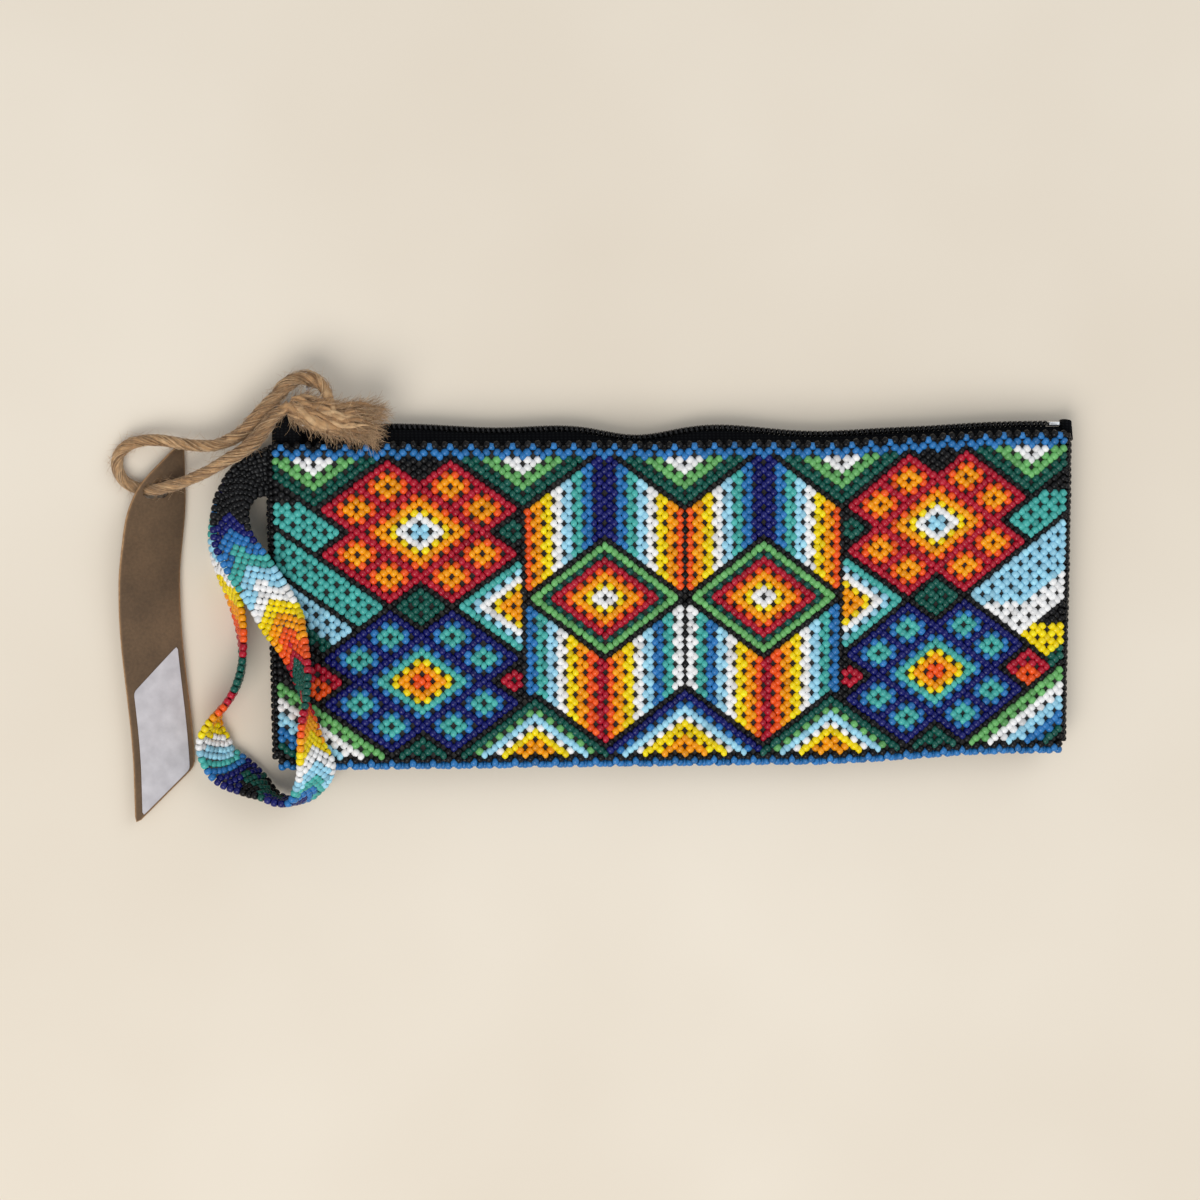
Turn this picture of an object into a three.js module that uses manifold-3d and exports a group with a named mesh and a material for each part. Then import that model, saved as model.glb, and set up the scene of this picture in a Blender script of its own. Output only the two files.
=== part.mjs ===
// Beaded leather bag: a flat zip pouch with a netted bead front, a bead wrist strap and a hang tag.
// Millimetres. The bag lies on its back: +X runs along the zip, +Y points from the bottom seam to
// the zip, and +Z points out of the bead front. The origin is the middle of the back panel's face.
import * as THREE from 'three';
import { mergeVertices } from 'three/addons/utils/BufferGeometryUtils.js';
import Module from 'manifold-3d';

const wasm = await Module();
wasm.setup();

// Pouch
const BAG_LENGTH = 208;
const PANEL_HEIGHT = 83;
const CORNER_RADIUS = 4;
const LEATHER = 1.3;
const LINING = 0.6;
const POCKET_DEPTH = 5.2;
const EDGE_WALL = 2.4;
const SEAT_GAP = 0.3;

// Bead front: a netting of bead columns and rows, as a black ground with colour fields on it
const BEAD_COLUMNS = 160;
const BEAD_ROWS = 85.5;
const ROWS_ABOVE_ZERO = 3;
const NET_DRIFT = 2.3;
const GROUND_THICKNESS = 1.6;
const FIELD_THICKNESS = 0.6;
const ROWS_PER_RIDGE = 4.5;
const GROUND_CREST = 0.4;
const FIELD_ROWS_PER_RIDGE = 2;
const RIDGE_HEIGHT = 0.3;
const PILLOW_RISE = 0.5;
const FIELD_MARGIN = 0.5;
const BUMP_HEIGHT = 0.3;

// Zip: two tapes that rise from the panels to a ridge, with a coil on the edge of each
const TAPE_THICKNESS = 0.6;
const TAPE_SEAM = 6;
const TAPE_RISE = 4;
const COIL_HEIGHT = 1.6;
const COIL_WIDTH = 1.2;
const COIL_SLOT = 1.4;
const COIL_PITCH = 3;
const TOOTH_DEPTH = 0.4;
const STOP_LENGTH = 3.4;
const TOP_STOP_LENGTH = 1.8;
const STOP_PROUD = 0.2;
const STOP_END_MARGIN = 0.4;

// Slider and pull
const SLIDER_LENGTH = 9;
const SLIDER_PLATE = 1.2;
const FLANGE_WALL = 1.1;
const FLANGE_DROP = 1;
const RUN_CLEARANCE = 0.3;
const POST_WIDTH = 0.8;
const POST_LENGTH = 5;
const FOOT_WIDTH = 2;
const FOOT_HEIGHT = 0.5;
const BAIL_SPAN = 7.2;
const BAIL_WIDTH = 1.6;
const BAIL_LEG = 1.2;
const BAIL_BAR = 0.8;
const PIVOT_HEIGHT = 1.1;
const PULL_THICKNESS = 1;
const PULL_WIDTH = 4.6;
const PULL_LENGTH = 9;
const PULL_EYE = 1.2;
const PULL_SIDE_CLEARANCE = 0.4;
const PULL_WINDOW = 4.4;

// Wrist strap: one bead band with both ends sewn to the left side
const STRAP_WIDTH = 12;
const STRAP_THICKNESS = 2;
const STRAP_STEPS = 2;
const STRAP_FLOOR = 1.2;

// Hang tag, its blank label and its twine
const TAG_WIDTH = 16;
const TAG_EDGE = 84;
const TAG_SLANT = 15;
const TAG_THICKNESS = 1.2;
const TAG_CORNER = 2;
const TAG_ROLL = 20;
const TAG_TURN = 1;
const TAG_TOP_CORNER = [-126.9, 43.4];
const TAG_FLOOR_GAP = 0.3;
const HOLE_FROM_EDGE = 8;
const HOLE_FROM_TOP = 13.4;
const HOLE_LENGTH = 7;
const HOLE_WIDTH = 3.8;
const LABEL_INSET = 1.6;
const LABEL_WIDTH = 11.4;
const LABEL_FROM_TOP = 54;
const LABEL_THICKNESS = 0.2;
const TWINE_DIAMETER = 2.8;
const TWINE_SIDES = 8;
const TWINE_STEPS = 64;
const TUFT_FLATTEN = 0.75;

const COLOURS = {
  black: 0x0c0c0e,
  navy: 0x15156a,
  blue: 0x2f7fc9,
  teal: 0x55b3ab,
  lightBlue: 0xa9d9ee,
  white: 0xf4f3f2,
  darkGreen: 0x0c5145,
  lightGreen: 0x6db565,
  red: 0xa80f2e,
  orange: 0xf79a0c,
  yellow: 0xf2d500,
  leather: 0x141315,
  lining: 0x1d1c20,
  tape: 0x101012,
  steel: 0xb9babd,
  twine: 0xa98762,
  tag: 0x57422f,
  label: 0xb9b3b4,
};

// Places worked out from the sizes above
const HALF_LENGTH = BAG_LENGTH / 2;
const HALF_HEIGHT = PANEL_HEIGHT / 2;
const POCKET_FLOOR = LEATHER + LINING;
const POCKET_ROOF = POCKET_FLOOR + POCKET_DEPTH;
const FRONT_UNDER = POCKET_ROOF + LINING;
const FRONT_TOP = FRONT_UNDER + LEATHER;
const GROUND_TOP = FRONT_TOP + GROUND_THICKNESS;
const FIELD_TOP = GROUND_TOP + FIELD_THICKNESS;
const BEAD_COLUMN = BAG_LENGTH / BEAD_COLUMNS;
const BEAD_ROW = PANEL_HEIGHT / BEAD_ROWS;
const ZIP_MIDDLE = (LEATHER + FRONT_UNDER) / 2;
const TAPE_HALF_LENGTH = HALF_LENGTH - EDGE_WALL - SEAT_GAP;
const COIL_FOOT = HALF_HEIGHT + TAPE_RISE;
const COIL_TOP = COIL_FOOT + COIL_HEIGHT;
const STOP_END = TAPE_HALF_LENGTH - STOP_END_MARGIN;
const COIL_LEFT = -STOP_END + TOP_STOP_LENGTH;
const COIL_RIGHT = STOP_END - STOP_LENGTH;
const SLIDER_X = COIL_LEFT + SLIDER_LENGTH / 2 + RUN_CLEARANCE;
const SLIDER_FACE = COIL_TOP + RUN_CLEARANCE;
const SLIDER_TOP = SLIDER_FACE + SLIDER_PLATE;
const PIVOT_Y = SLIDER_TOP + PIVOT_HEIGHT;

function mesh(name, geometry, colour, roughness = 0.5, metalness = 0) {
  const material = new THREE.MeshStandardMaterial({ color: COLOURS[colour], roughness, metalness });
  const piece = new THREE.Mesh(geometry, material);
  piece.name = name;
  return piece;
}

function outline(points) {
  return new THREE.Shape(points.map(([x, y]) => new THREE.Vector2(x, y)));
}

// A flat outline raised from one height to another
function prism(shape, low, high) {
  const settings = { depth: high - low, bevelEnabled: false, curveSegments: 5 };
  const geometry = new THREE.ExtrudeGeometry(shape, settings);
  return geometry.translate(0, 0, low);
}

// An outline in (y, z) drawn out along X
function drawnAlongX(shape, left, right) {
  const settings = { depth: right - left, bevelEnabled: false, curveSegments: 5 };
  const geometry = new THREE.ExtrudeGeometry(shape, settings);
  const turn = new THREE.Matrix4().makeBasis(
    new THREE.Vector3(0, 1, 0), new THREE.Vector3(0, 0, 1), new THREE.Vector3(1, 0, 0));
  return geometry.applyMatrix4(turn).translate(left, 0, 0);
}

function box([left, right], [near, far], [low, high]) {
  const geometry = new THREE.BoxGeometry(right - left, far - near, high - low);
  return geometry.translate((left + right) / 2, (near + far) / 2, (low + high) / 2);
}

function solid(geometry) {
  const bare = geometry.clone();
  bare.deleteAttribute('normal');
  bare.deleteAttribute('uv');
  const merged = mergeVertices(bare, 1e-4);
  return new wasm.Manifold(new wasm.Mesh({
    numProp: 3,
    vertProperties: new Float32Array(merged.attributes.position.array),
    triVerts: new Uint32Array(merged.index.array),
  }));
}

function surface(body) {
  const { vertProperties, triVerts } = body.getMesh();
  const geometry = new THREE.BufferGeometry();
  geometry.setAttribute('position', new THREE.BufferAttribute(new Float32Array(vertProperties), 3));
  geometry.setIndex(Array.from(triVerts));
  geometry.computeVertexNormals();
  return geometry;
}

function joined(geometries) {
  return surface(geometries.map(solid).reduce((sum, next) => sum.add(next)));
}

function roundedRectangle(halfWidth, halfHeight, radius) {
  const shape = new THREE.Shape();
  shape.absarc(halfWidth - radius, halfHeight - radius, radius, 0, Math.PI / 2);
  shape.absarc(radius - halfWidth, halfHeight - radius, radius, Math.PI / 2, Math.PI);
  shape.absarc(radius - halfWidth, radius - halfHeight, radius, Math.PI, 1.5 * Math.PI);
  shape.absarc(halfWidth - radius, radius - halfHeight, radius, 1.5 * Math.PI, 2 * Math.PI);
  return shape;
}

function pouch() {
  const panel = roundedRectangle(HALF_LENGTH, HALF_HEIGHT, CORNER_RADIUS);
  const liningRight = HALF_LENGTH - EDGE_WALL - SEAT_GAP;
  const liningBottom = -HALF_HEIGHT + EDGE_WALL + SEAT_GAP;
  const liningTop = HALF_HEIGHT - TAPE_SEAM - SEAT_GAP;
  const liningMiddle = (liningTop + liningBottom) / 2;
  const liningShape = roundedRectangle(liningRight, liningTop - liningMiddle, CORNER_RADIUS - EDGE_WALL);
  const lining = (low, high) => prism(liningShape, low, high).translate(0, liningMiddle, 0);
  return [
    mesh('back_panel', prism(panel, 0, LEATHER), 'leather'),
    mesh('front_panel', prism(panel, FRONT_UNDER, FRONT_TOP), 'leather'),
    mesh('back_lining', lining(LEATHER, POCKET_FLOOR), 'lining', 0.9),
    mesh('front_lining', lining(POCKET_ROOF, FRONT_UNDER), 'lining', 0.9),
    mesh('edge_wall', prism(edgeWallShape(), LEATHER, FRONT_UNDER), 'leather'),
  ];
}

// The wall sewn round the two sides and the bottom, open towards the zip
function edgeWallShape() {
  const inside = HALF_LENGTH - EDGE_WALL;
  const innerRadius = CORNER_RADIUS - EDGE_WALL;
  const wallTop = HALF_HEIGHT - CORNER_RADIUS;
  const shape = new THREE.Shape();
  shape.moveTo(-HALF_LENGTH, wallTop);
  const cornerX = HALF_LENGTH - CORNER_RADIUS;
  const cornerY = CORNER_RADIUS - HALF_HEIGHT;
  shape.absarc(-cornerX, cornerY, CORNER_RADIUS, Math.PI, 1.5 * Math.PI);
  shape.absarc(cornerX, cornerY, CORNER_RADIUS, 1.5 * Math.PI, 2 * Math.PI);
  shape.lineTo(HALF_LENGTH, wallTop);
  shape.lineTo(inside, wallTop);
  const innerY = EDGE_WALL + innerRadius - HALF_HEIGHT;
  shape.absarc(inside - innerRadius, innerY, innerRadius, 0, -Math.PI / 2, true);
  shape.absarc(innerRadius - inside, innerY, innerRadius, -Math.PI / 2, -Math.PI, true);
  shape.lineTo(-inside, wallTop);
  return shape;
}

// A slab over the whole panel whose top carries bead rows as ridges along X, flat on a share of
// their width or sharp
function ridgedSlab(under, crest, rowsPerRidge, flatShare) {
  const ridges = Math.round(BEAD_ROWS / rowsPerRidge);
  const pitch = PANEL_HEIGHT / ridges;
  const flat = flatShare * pitch / 2;
  const valley = crest - RIDGE_HEIGHT;
  const points = [[-HALF_HEIGHT, under], [HALF_HEIGHT, under], [HALF_HEIGHT, valley]];
  for (let ridge = ridges - 1; ridge >= 0; ridge--) {
    const middle = (ridge + 0.5) * pitch - HALF_HEIGHT;
    const tops = flat > 0 ? [middle + flat, middle - flat] : [middle];
    points.push(...tops.map((y) => [y, crest]), [middle - pitch / 2, valley]);
  }
  return solid(drawnAlongX(outline(points), -HALF_LENGTH, HALF_LENGTH));
}

// The padded front: a field's top rises towards the panel's middle, its foot stays on the ground
function pillow(corner) {
  const [x, y, z] = corner;
  const aboveFoot = GROUND_TOP + (FIELD_THICKNESS - RIDGE_HEIGHT) / 2;
  if (z > aboveFoot) {
    corner[2] += PILLOW_RISE * (1 - (x / HALF_LENGTH) ** 2) * (1 - (y / HALF_HEIGHT) ** 2);
  }
}

// A place in the netting: column counted from the pattern's middle, row counted down from the top
// border. The net is fixed at both sides and drawn to the right in between.
function bead(column, row) {
  const share = 2 * column / BEAD_COLUMNS;
  const drawn = column + NET_DRIFT * (1 - share * share);
  return [drawn * BEAD_COLUMN, HALF_HEIGHT - (row + ROWS_ABOVE_ZERO) * BEAD_ROW];
}

function diamond(column, row, reach) {
  return [[column - reach, row], [column, row + reach], [column + reach, row], [column, row - reach]];
}

const fieldSlab = ridgedSlab(GROUND_TOP, FIELD_TOP, FIELD_ROWS_PER_RIDGE, 0);
const fieldRim = roundedRectangle(HALF_LENGTH - FIELD_MARGIN, HALF_HEIGHT - FIELD_MARGIN, CORNER_RADIUS);
const fieldBlank = fieldSlab.intersect(solid(prism(fieldRim, GROUND_TOP - 1, FIELD_TOP + 1)));

function fieldPrism(points, low, high) {
  const flat = points.map(([column, row]) => bead(column, row));
  const anticlockwise = THREE.ShapeUtils.area(outline(flat).getPoints()) > 0;
  return solid(prism(outline(anticlockwise ? flat : flat.reverse()), low, high));
}

// One field of colour: its outline, with other outlines left out and small raised diamonds added
function field(name, colour, points, { without = [], bumps = [] } = {}) {
  let body = fieldBlank.intersect(fieldPrism(points, GROUND_TOP - 1, FIELD_TOP + 1));
  for (const left of without) {
    body = body.subtract(fieldPrism(left, GROUND_TOP - 1, FIELD_TOP + 1));
  }
  for (const [column, row, reach] of bumps) {
    const low = FIELD_TOP - RIDGE_HEIGHT - BUMP_HEIGHT / 2;
    body = body.add(fieldPrism(diamond(column, row, reach), low, FIELD_TOP + BUMP_HEIGHT));
  }
  return mesh(name, surface(body.warp(pillow)), colour, 0.25);
}

function beadGround() {
  const rim = roundedRectangle(HALF_LENGTH, HALF_HEIGHT, CORNER_RADIUS);
  const slab = ridgedSlab(FRONT_TOP, GROUND_TOP, ROWS_PER_RIDGE, GROUND_CREST);
  const body = slab.intersect(solid(prism(rim, FRONT_TOP - 1, GROUND_TOP + 1)));
  return mesh('bead_ground', surface(body), 'black', 0.25);
}

function borders() {
  const side = BEAD_COLUMNS / 2;
  const band = (first, last) => [[-side, first], [side, first], [side, last], [-side, last]];
  return [
    field('border_top', 'blue', band(-2.4, 0.2)),
    field('border_bottom', 'blue', band(81.4, 82.4)),
  ];
}

// Triangles that hang from the top border and stand on the bottom border
function triangles() {
  const reach = 12.4;
  const topRow = 0.7;
  const pieces = [-72, -32, 0, 32, 72].map((column, i) => field(`top_triangle_${i + 1}`, 'lightGreen', [
    [column - reach, topRow], [column + reach, topRow], [column, topRow + reach]]));
  const apex = 63.6;
  const foot = 80.7;
  const meet = 14.6;
  const gap = 0.8;
  pieces.push(field('bottom_triangle_middle', 'blue', [
    [0, apex], [meet, apex + meet], [meet, foot], [-meet, foot], [-meet, apex + meet]]));
  const axis = 30;
  const inner = meet + gap;
  for (const [word, side] of [['left', -1], ['right', 1]]) {
    pieces.push(field(`bottom_triangle_${word}`, 'yellow', [
      [side * axis, apex], [side * inner, apex + axis - inner], [side * inner, foot],
      [side * (axis + foot - apex), foot]]));
  }
  return pieces;
}

// The two eyes with the striped fields above and below them, each with half of the arrow at its side
function eyes() {
  const row = 38;
  const outer = 15;
  const inner = 11.4;
  const clear = 17;
  const near = 0.6;
  const far = 31.4;
  const tip = 43;
  const arrow = 11.4;
  const split = 0.4;
  const pieces = [];
  for (const [word, side] of [['left', -1], ['right', 1]]) {
    const column = 16 * side;
    const x = (distance) => distance * side;
    pieces.push(field(`eye_ring_${word}`, 'lightGreen', diamond(column, row, outer),
      { without: [diamond(column, row, inner)] }));
    pieces.push(field(`eye_core_${word}`, 'orange', diamond(column, row, inner - 0.8)));
    pieces.push(field(`stripes_above_eye_${word}`, 'blue', [
      [x(14.6), 0.7], [x(17.4), 0.7], [x(far), 14.7], [x(far), row - arrow],
      [x(tip), row - split], [x(far + 1.6), row - split], [x(far), row - clear + 15.4],
      [column, row - clear], [x(near), row - clear + 15.4], [x(near), 14.7]]));
    pieces.push(field(`stripes_below_eye_${word}`, 'orange', [
      [x(near), row + clear - 15.4], [column, row + clear], [x(far), row + clear - 15.4],
      [x(far + 1.6), row + split], [x(tip), row + split], [x(far), row + arrow],
      [x(far), 61.2], [column, 76.6], [x(near), 61.2]]));
  }
  return pieces;
}

// Four flowers: twelve cells round a middle diamond, each cell with a raised small flower
function flowers() {
  const petal = [[-18, 6], [-6, 18], [0, 12], [6, 18], [18, 6], [12, 0]];
  const around = [...petal, ...petal.map(([column, row]) => [-column, -row])];
  const smallFlowers = [[6, 12], [12, 6], [12, -6], [6, -12], [-6, -12], [-12, -6], [-12, 6], [-6, 12]];
  const grow = 1.03;
  const pieces = [];
  for (const [word, side] of [['left', -1], ['right', 1]]) {
    for (const [tint, ring, middle, row] of [['red', 'red', 'orange', 20], ['blue', 'navy', 'teal', 60]]) {
      const column = 52 * side;
      pieces.push(field(`${tint}_flower_${word}`, ring,
        around.map(([across, down]) => [column + grow * across, row + grow * down]), {
          without: [diamond(column, row, 11.6)],
          bumps: smallFlowers.map(([across, down]) => [column + across, row + down, 3]),
        }));
      pieces.push(field(`${tint}_flower_heart_${word}`, middle, diamond(column, row, 10.8)));
    }
  }
  return pieces;
}

// The bands between the flowers and a side, with the black lines between them cut in from the side
function sideBands() {
  const corners = [[61, 40.2], [72.6, 28.6], [72.6, 16.4], [79.6, 10.6], [79.6, 79.6], [61.6, 79.6],
    [72.6, 68.6], [72.6, 51.8]];
  const lines = [
    [[80.5, 14.2], [74.2, 20.4], [74.2, 22.2], [80.5, 16]],
    [[80.5, 38.6], [75.4, 42.4], [75.4, 43.6], [80.5, 43.4]],
    [[80.5, 51.8], [74.2, 58.8], [74.2, 60.6], [80.5, 53.6]],
  ];
  const onSide = (points, side) => points.map(([column, row]) => [side * column, row]);
  const band = (name, colour, side) => (
    field(name, colour, onSide(corners, side), { without: lines.map((line) => onSide(line, side)) }));
  return [
    band('side_band_left', 'teal', -1),
    band('side_band_right', 'lightBlue', 1),
  ];
}

// A tape: flat under its panel's edge, then sloping up to the coil; face is +1 in front, -1 behind
function zipTape(name, face) {
  const z = (distance) => ZIP_MIDDLE + face * distance;
  const outerFlat = (FRONT_UNDER - LEATHER) / 2;
  const innerFlat = outerFlat - TAPE_THICKNESS;
  const outerTop = COIL_SLOT / 2 + 0.8 * COIL_WIDTH;
  const innerTop = COIL_SLOT / 2 + 0.2 * COIL_WIDTH;
  const points = [
    [HALF_HEIGHT - TAPE_SEAM, z(outerFlat)], [HALF_HEIGHT - TAPE_SEAM, z(innerFlat)],
    [HALF_HEIGHT - 0.2, z(innerFlat)], [COIL_FOOT, z(innerTop)],
    [COIL_FOOT, z(outerTop)], [HALF_HEIGHT + 0.2, z(outerFlat)],
  ];
  const shape = outline(face > 0 ? points : points.reverse());
  return mesh(name, drawnAlongX(shape, -TAPE_HALF_LENGTH, TAPE_HALF_LENGTH), 'tape', 0.9);
}

// A coil half as a toothed bar on its tape's edge
function zipCoil(name, face) {
  const teeth = Math.floor((COIL_RIGHT - COIL_LEFT) / COIL_PITCH);
  const pitch = (COIL_RIGHT - COIL_LEFT) / teeth;
  const points = [[COIL_LEFT, COIL_FOOT], [COIL_RIGHT, COIL_FOOT]];
  for (let tooth = teeth; tooth > 0; tooth--) {
    points.push([COIL_LEFT + tooth * pitch, COIL_TOP - TOOTH_DEPTH]);
    points.push([COIL_LEFT + (tooth - 0.5) * pitch, COIL_TOP]);
  }
  points.push([COIL_LEFT, COIL_TOP - TOOTH_DEPTH]);
  return mesh(name, prism(outline(points), ...coilHeights(face)), 'tape', 0.5);
}

function coilHeights(face) {
  const near = COIL_SLOT / 2;
  const far = near + COIL_WIDTH;
  return face > 0 ? [ZIP_MIDDLE + near, ZIP_MIDDLE + far] : [ZIP_MIDDLE - far, ZIP_MIDDLE - near];
}

function zip() {
  const stopHeight = [COIL_FOOT, COIL_TOP + STOP_PROUD];
  const topStop = (face) => box([-STOP_END, COIL_LEFT], stopHeight, coilHeights(face));
  const halfBoth = COIL_SLOT / 2 + COIL_WIDTH;
  const bottomStop = box([COIL_RIGHT, STOP_END], [COIL_FOOT, COIL_TOP + STOP_PROUD],
    [ZIP_MIDDLE - halfBoth, ZIP_MIDDLE + halfBoth]);
  return [
    zipTape('zip_tape_front', 1),
    zipTape('zip_tape_back', -1),
    zipCoil('zip_coil_front', 1),
    zipCoil('zip_coil_back', -1),
    mesh('zip_top_stop_front', topStop(1), 'steel', 0.3, 1),
    mesh('zip_top_stop_back', topStop(-1), 'steel', 0.3, 1),
    mesh('zip_bottom_stop', bottomStop, 'steel', 0.3, 1),
  ];
}

// The slider: a plate with two flanges outside the coils, and a post between them with a foot inside
function slider() {
  const ends = [SLIDER_X - SLIDER_LENGTH / 2, SLIDER_X + SLIDER_LENGTH / 2];
  const flangeIn = COIL_SLOT / 2 + COIL_WIDTH + RUN_CLEARANCE;
  const flangeOut = flangeIn + FLANGE_WALL;
  const flangeEnd = SLIDER_FACE - FLANGE_DROP;
  const postEnds = [SLIDER_X - POST_LENGTH / 2, SLIDER_X + POST_LENGTH / 2];
  const footTop = COIL_FOOT - RUN_CLEARANCE;
  const about = (half) => [ZIP_MIDDLE - half, ZIP_MIDDLE + half];
  const pieces = [
    box(ends, [SLIDER_FACE, SLIDER_TOP], about(flangeOut)),
    box(ends, [flangeEnd, SLIDER_TOP], [ZIP_MIDDLE + flangeIn, ZIP_MIDDLE + flangeOut]),
    box(ends, [flangeEnd, SLIDER_TOP], [ZIP_MIDDLE - flangeOut, ZIP_MIDDLE - flangeIn]),
    box(postEnds, [footTop - FOOT_HEIGHT, SLIDER_TOP], about(POST_WIDTH / 2)),
    box(postEnds, [footTop - FOOT_HEIGHT, footTop], about(FOOT_WIDTH / 2)),
  ];
  const barUnder = PIVOT_Y + PULL_EYE / 2 + PULL_SIDE_CLEARANCE;
  const barTop = barUnder + BAIL_BAR;
  const reach = BAIL_SPAN / 2;
  for (const [start, end] of [[-reach, -reach + BAIL_LEG], [reach - BAIL_LEG, reach]]) {
    pieces.push(box([SLIDER_X + start, SLIDER_X + end], [SLIDER_FACE, barTop], about(BAIL_WIDTH / 2)));
  }
  pieces.push(box([SLIDER_X - reach, SLIDER_X + reach], [barUnder, barTop], about(BAIL_WIDTH / 2)));
  return mesh('zip_slider', joined(pieces), 'steel', 0.3, 1);
}

// The pull: a plate with a window whose lower bar turns under the slider's bail
function pull() {
  const half = PULL_WIDTH / 2;
  const foot = PIVOT_Y - PULL_EYE / 2;
  const tip = PIVOT_Y + PULL_LENGTH;
  const shape = new THREE.Shape();
  shape.moveTo(foot, ZIP_MIDDLE - half);
  shape.lineTo(tip - half, ZIP_MIDDLE - half);
  shape.absarc(tip - half, ZIP_MIDDLE, half, -Math.PI / 2, Math.PI / 2);
  shape.lineTo(foot, ZIP_MIDDLE + half);
  const windowHalf = BAIL_WIDTH / 2 + PULL_SIDE_CLEARANCE;
  const window = [[foot + PULL_EYE, -windowHalf], [PIVOT_Y + PULL_WINDOW, -windowHalf],
    [PIVOT_Y + PULL_WINDOW, windowHalf], [foot + PULL_EYE, windowHalf]];
  shape.holes.push(outline(window.map(([y, z]) => [y, ZIP_MIDDLE + z])));
  const geometry = drawnAlongX(shape, SLIDER_X - PULL_THICKNESS / 2, SLIDER_X + PULL_THICKNESS / 2);
  return mesh('zip_pull', geometry, 'steel', 0.3, 1);
}

// Stations along the strap, from its front end round the loop to its back end: distance from the
// bag's left side, y as a share of half the panel's height, lift of the lower edge (0 on the floor,
// 1 on the bead front), the direction in plan from the upper edge to the lower one, and the lean of
// the band from flat, in degrees
const STRAP_STATIONS = [
  [-0.5, 0.834, 0.61, 90, 0], [-6, 0.79, 0.7, 113, 8],
  [-9.8, 0.655, 0.85, 149, 12], [-9.9, 0.436, 1.06, 193, 0],
  [-6, 0.265, 1.15, 208, 0], [-1.4, 0.096, 1.15, 212, 0],
  [1.8, -0.043, 1.1, 211, 0], [4.8, -0.195, 1, 209, 40],
  [7.2, -0.361, 1, 208, 62], [8.3, -0.537, 1, 200, 82],
  [9, -0.684, 1, 5, 76], [9.8, -0.843, 1, 10, 60],
  [11.1, -1, 1, 9, 36], [9.1, -1.142, 0.48, -2, 49],
  [5.3, -1.229, 0.13, -13, 73], [0.7, -1.212, 0.02, 45, 85],
  [-3.4, -1.133, 0, 84, 64], [-8.5, -1.063, 0, 85, 38],
  [-13, -1.005, 0, 65, 34], [-15.2, -0.911, 0, 43, 37],
  [-16.6, -0.8, 0, 39, 52], [-15.5, -0.704, 0, 39, 72],
  [-11.8, -0.6, 0, 34, 86], [-8.7, -0.443, 0, 0, 89],
  [-7.8, -0.253, 0, 194, 85], [-8.6, -0.077, 0, 174, 77],
  [-10.1, 0.07, 0, 166, 69], [-12.5, 0.217, 0.02, 158, 59],
  [-15.2, 0.395, 0.05, 158, 47], [-13.1, 0.598, 0.1, 152, 24],
  [-8.3, 0.771, 0.22, 127, 10], [-0.5, 0.853, 0.29, 90, 4],
];

// The strap's colours, each from one station to another
const STRAP_FIELDS = [
  ['strap_root_front', 'black', 0, 3],
  ['strap_cool_front', 'blue', 3, 5],
  ['strap_warm_front', 'orange', 5, 8],
  ['strap_green_front', 'darkGreen', 8, 10],
  ['strap_light_front', 'yellow', 10, 14],
  ['strap_middle', 'navy', 14, 18],
  ['strap_light_back', 'lightBlue', 18, 22],
  ['strap_green_back', 'darkGreen', 22, 24],
  ['strap_warm_back', 'orange', 24, 27],
  ['strap_cool_back', 'blue', 27, 29],
  ['strap_root_back', 'black', 29, 31],
];

// The two edges of the strap as curves through the stations
function strapRails() {
  const restOnBag = FIELD_TOP + STRAP_THICKNESS / 2 + SEAT_GAP;
  const upper = [];
  const lower = [];
  for (const [fromSide, along, lift, toward, lean] of STRAP_STATIONS) {
    const low = THREE.MathUtils.lerp(STRAP_FLOOR, restOnBag, lift);
    const flat = STRAP_WIDTH * Math.cos(THREE.MathUtils.degToRad(lean)) / 2;
    const rise = STRAP_WIDTH * Math.sin(THREE.MathUtils.degToRad(lean));
    const across = new THREE.Vector3(flat, 0, 0).applyAxisAngle(
      new THREE.Vector3(0, 0, 1), THREE.MathUtils.degToRad(toward));
    const middle = new THREE.Vector3(fromSide - HALF_LENGTH, along * HALF_HEIGHT, low);
    lower.push(middle.clone().add(across));
    upper.push(middle.clone().sub(across).setZ(low + rise));
  }
  return [new THREE.CatmullRomCurve3(upper), new THREE.CatmullRomCurve3(lower)];
}

// The four corners of the band's section at one place along it
function strapSection([upper, lower], step) {
  const place = step / (STRAP_STEPS * (STRAP_STATIONS.length - 1));
  const top = upper.getPoint(place);
  const foot = lower.getPoint(place);
  const along = upper.getTangent(place).add(lower.getTangent(place));
  const half = along.cross(foot.clone().sub(top)).setLength(STRAP_THICKNESS / 2);
  return [top.clone().add(half), foot.clone().add(half), foot.clone().sub(half), top.clone().sub(half)];
}

function strapBand(rails, first, last) {
  const corners = [];
  const faces = [];
  const steps = (last - first) * STRAP_STEPS;
  for (let step = 0; step <= steps; step++) {
    corners.push(...strapSection(rails, first * STRAP_STEPS + step));
  }
  for (let step = 0; step < steps; step++) {
    for (let side = 0; side < 4; side++) {
      const here = 4 * step + side;
      const beside = 4 * step + (side + 1) % 4;
      faces.push(here, beside + 4, beside, here, here + 4, beside + 4);
    }
  }
  const end = 4 * steps;
  faces.push(0, 2, 3, 0, 1, 2, end, end + 2, end + 1, end, end + 3, end + 2);
  const geometry = new THREE.BufferGeometry().setFromPoints(corners);
  geometry.setIndex(faces);
  return geometry;
}

function strap() {
  const rails = strapRails();
  return STRAP_FIELDS.map(([name, colour, first, last]) => (
    mesh(name, strapBand(rails, first, last), colour, 0.25)));
}

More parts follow.
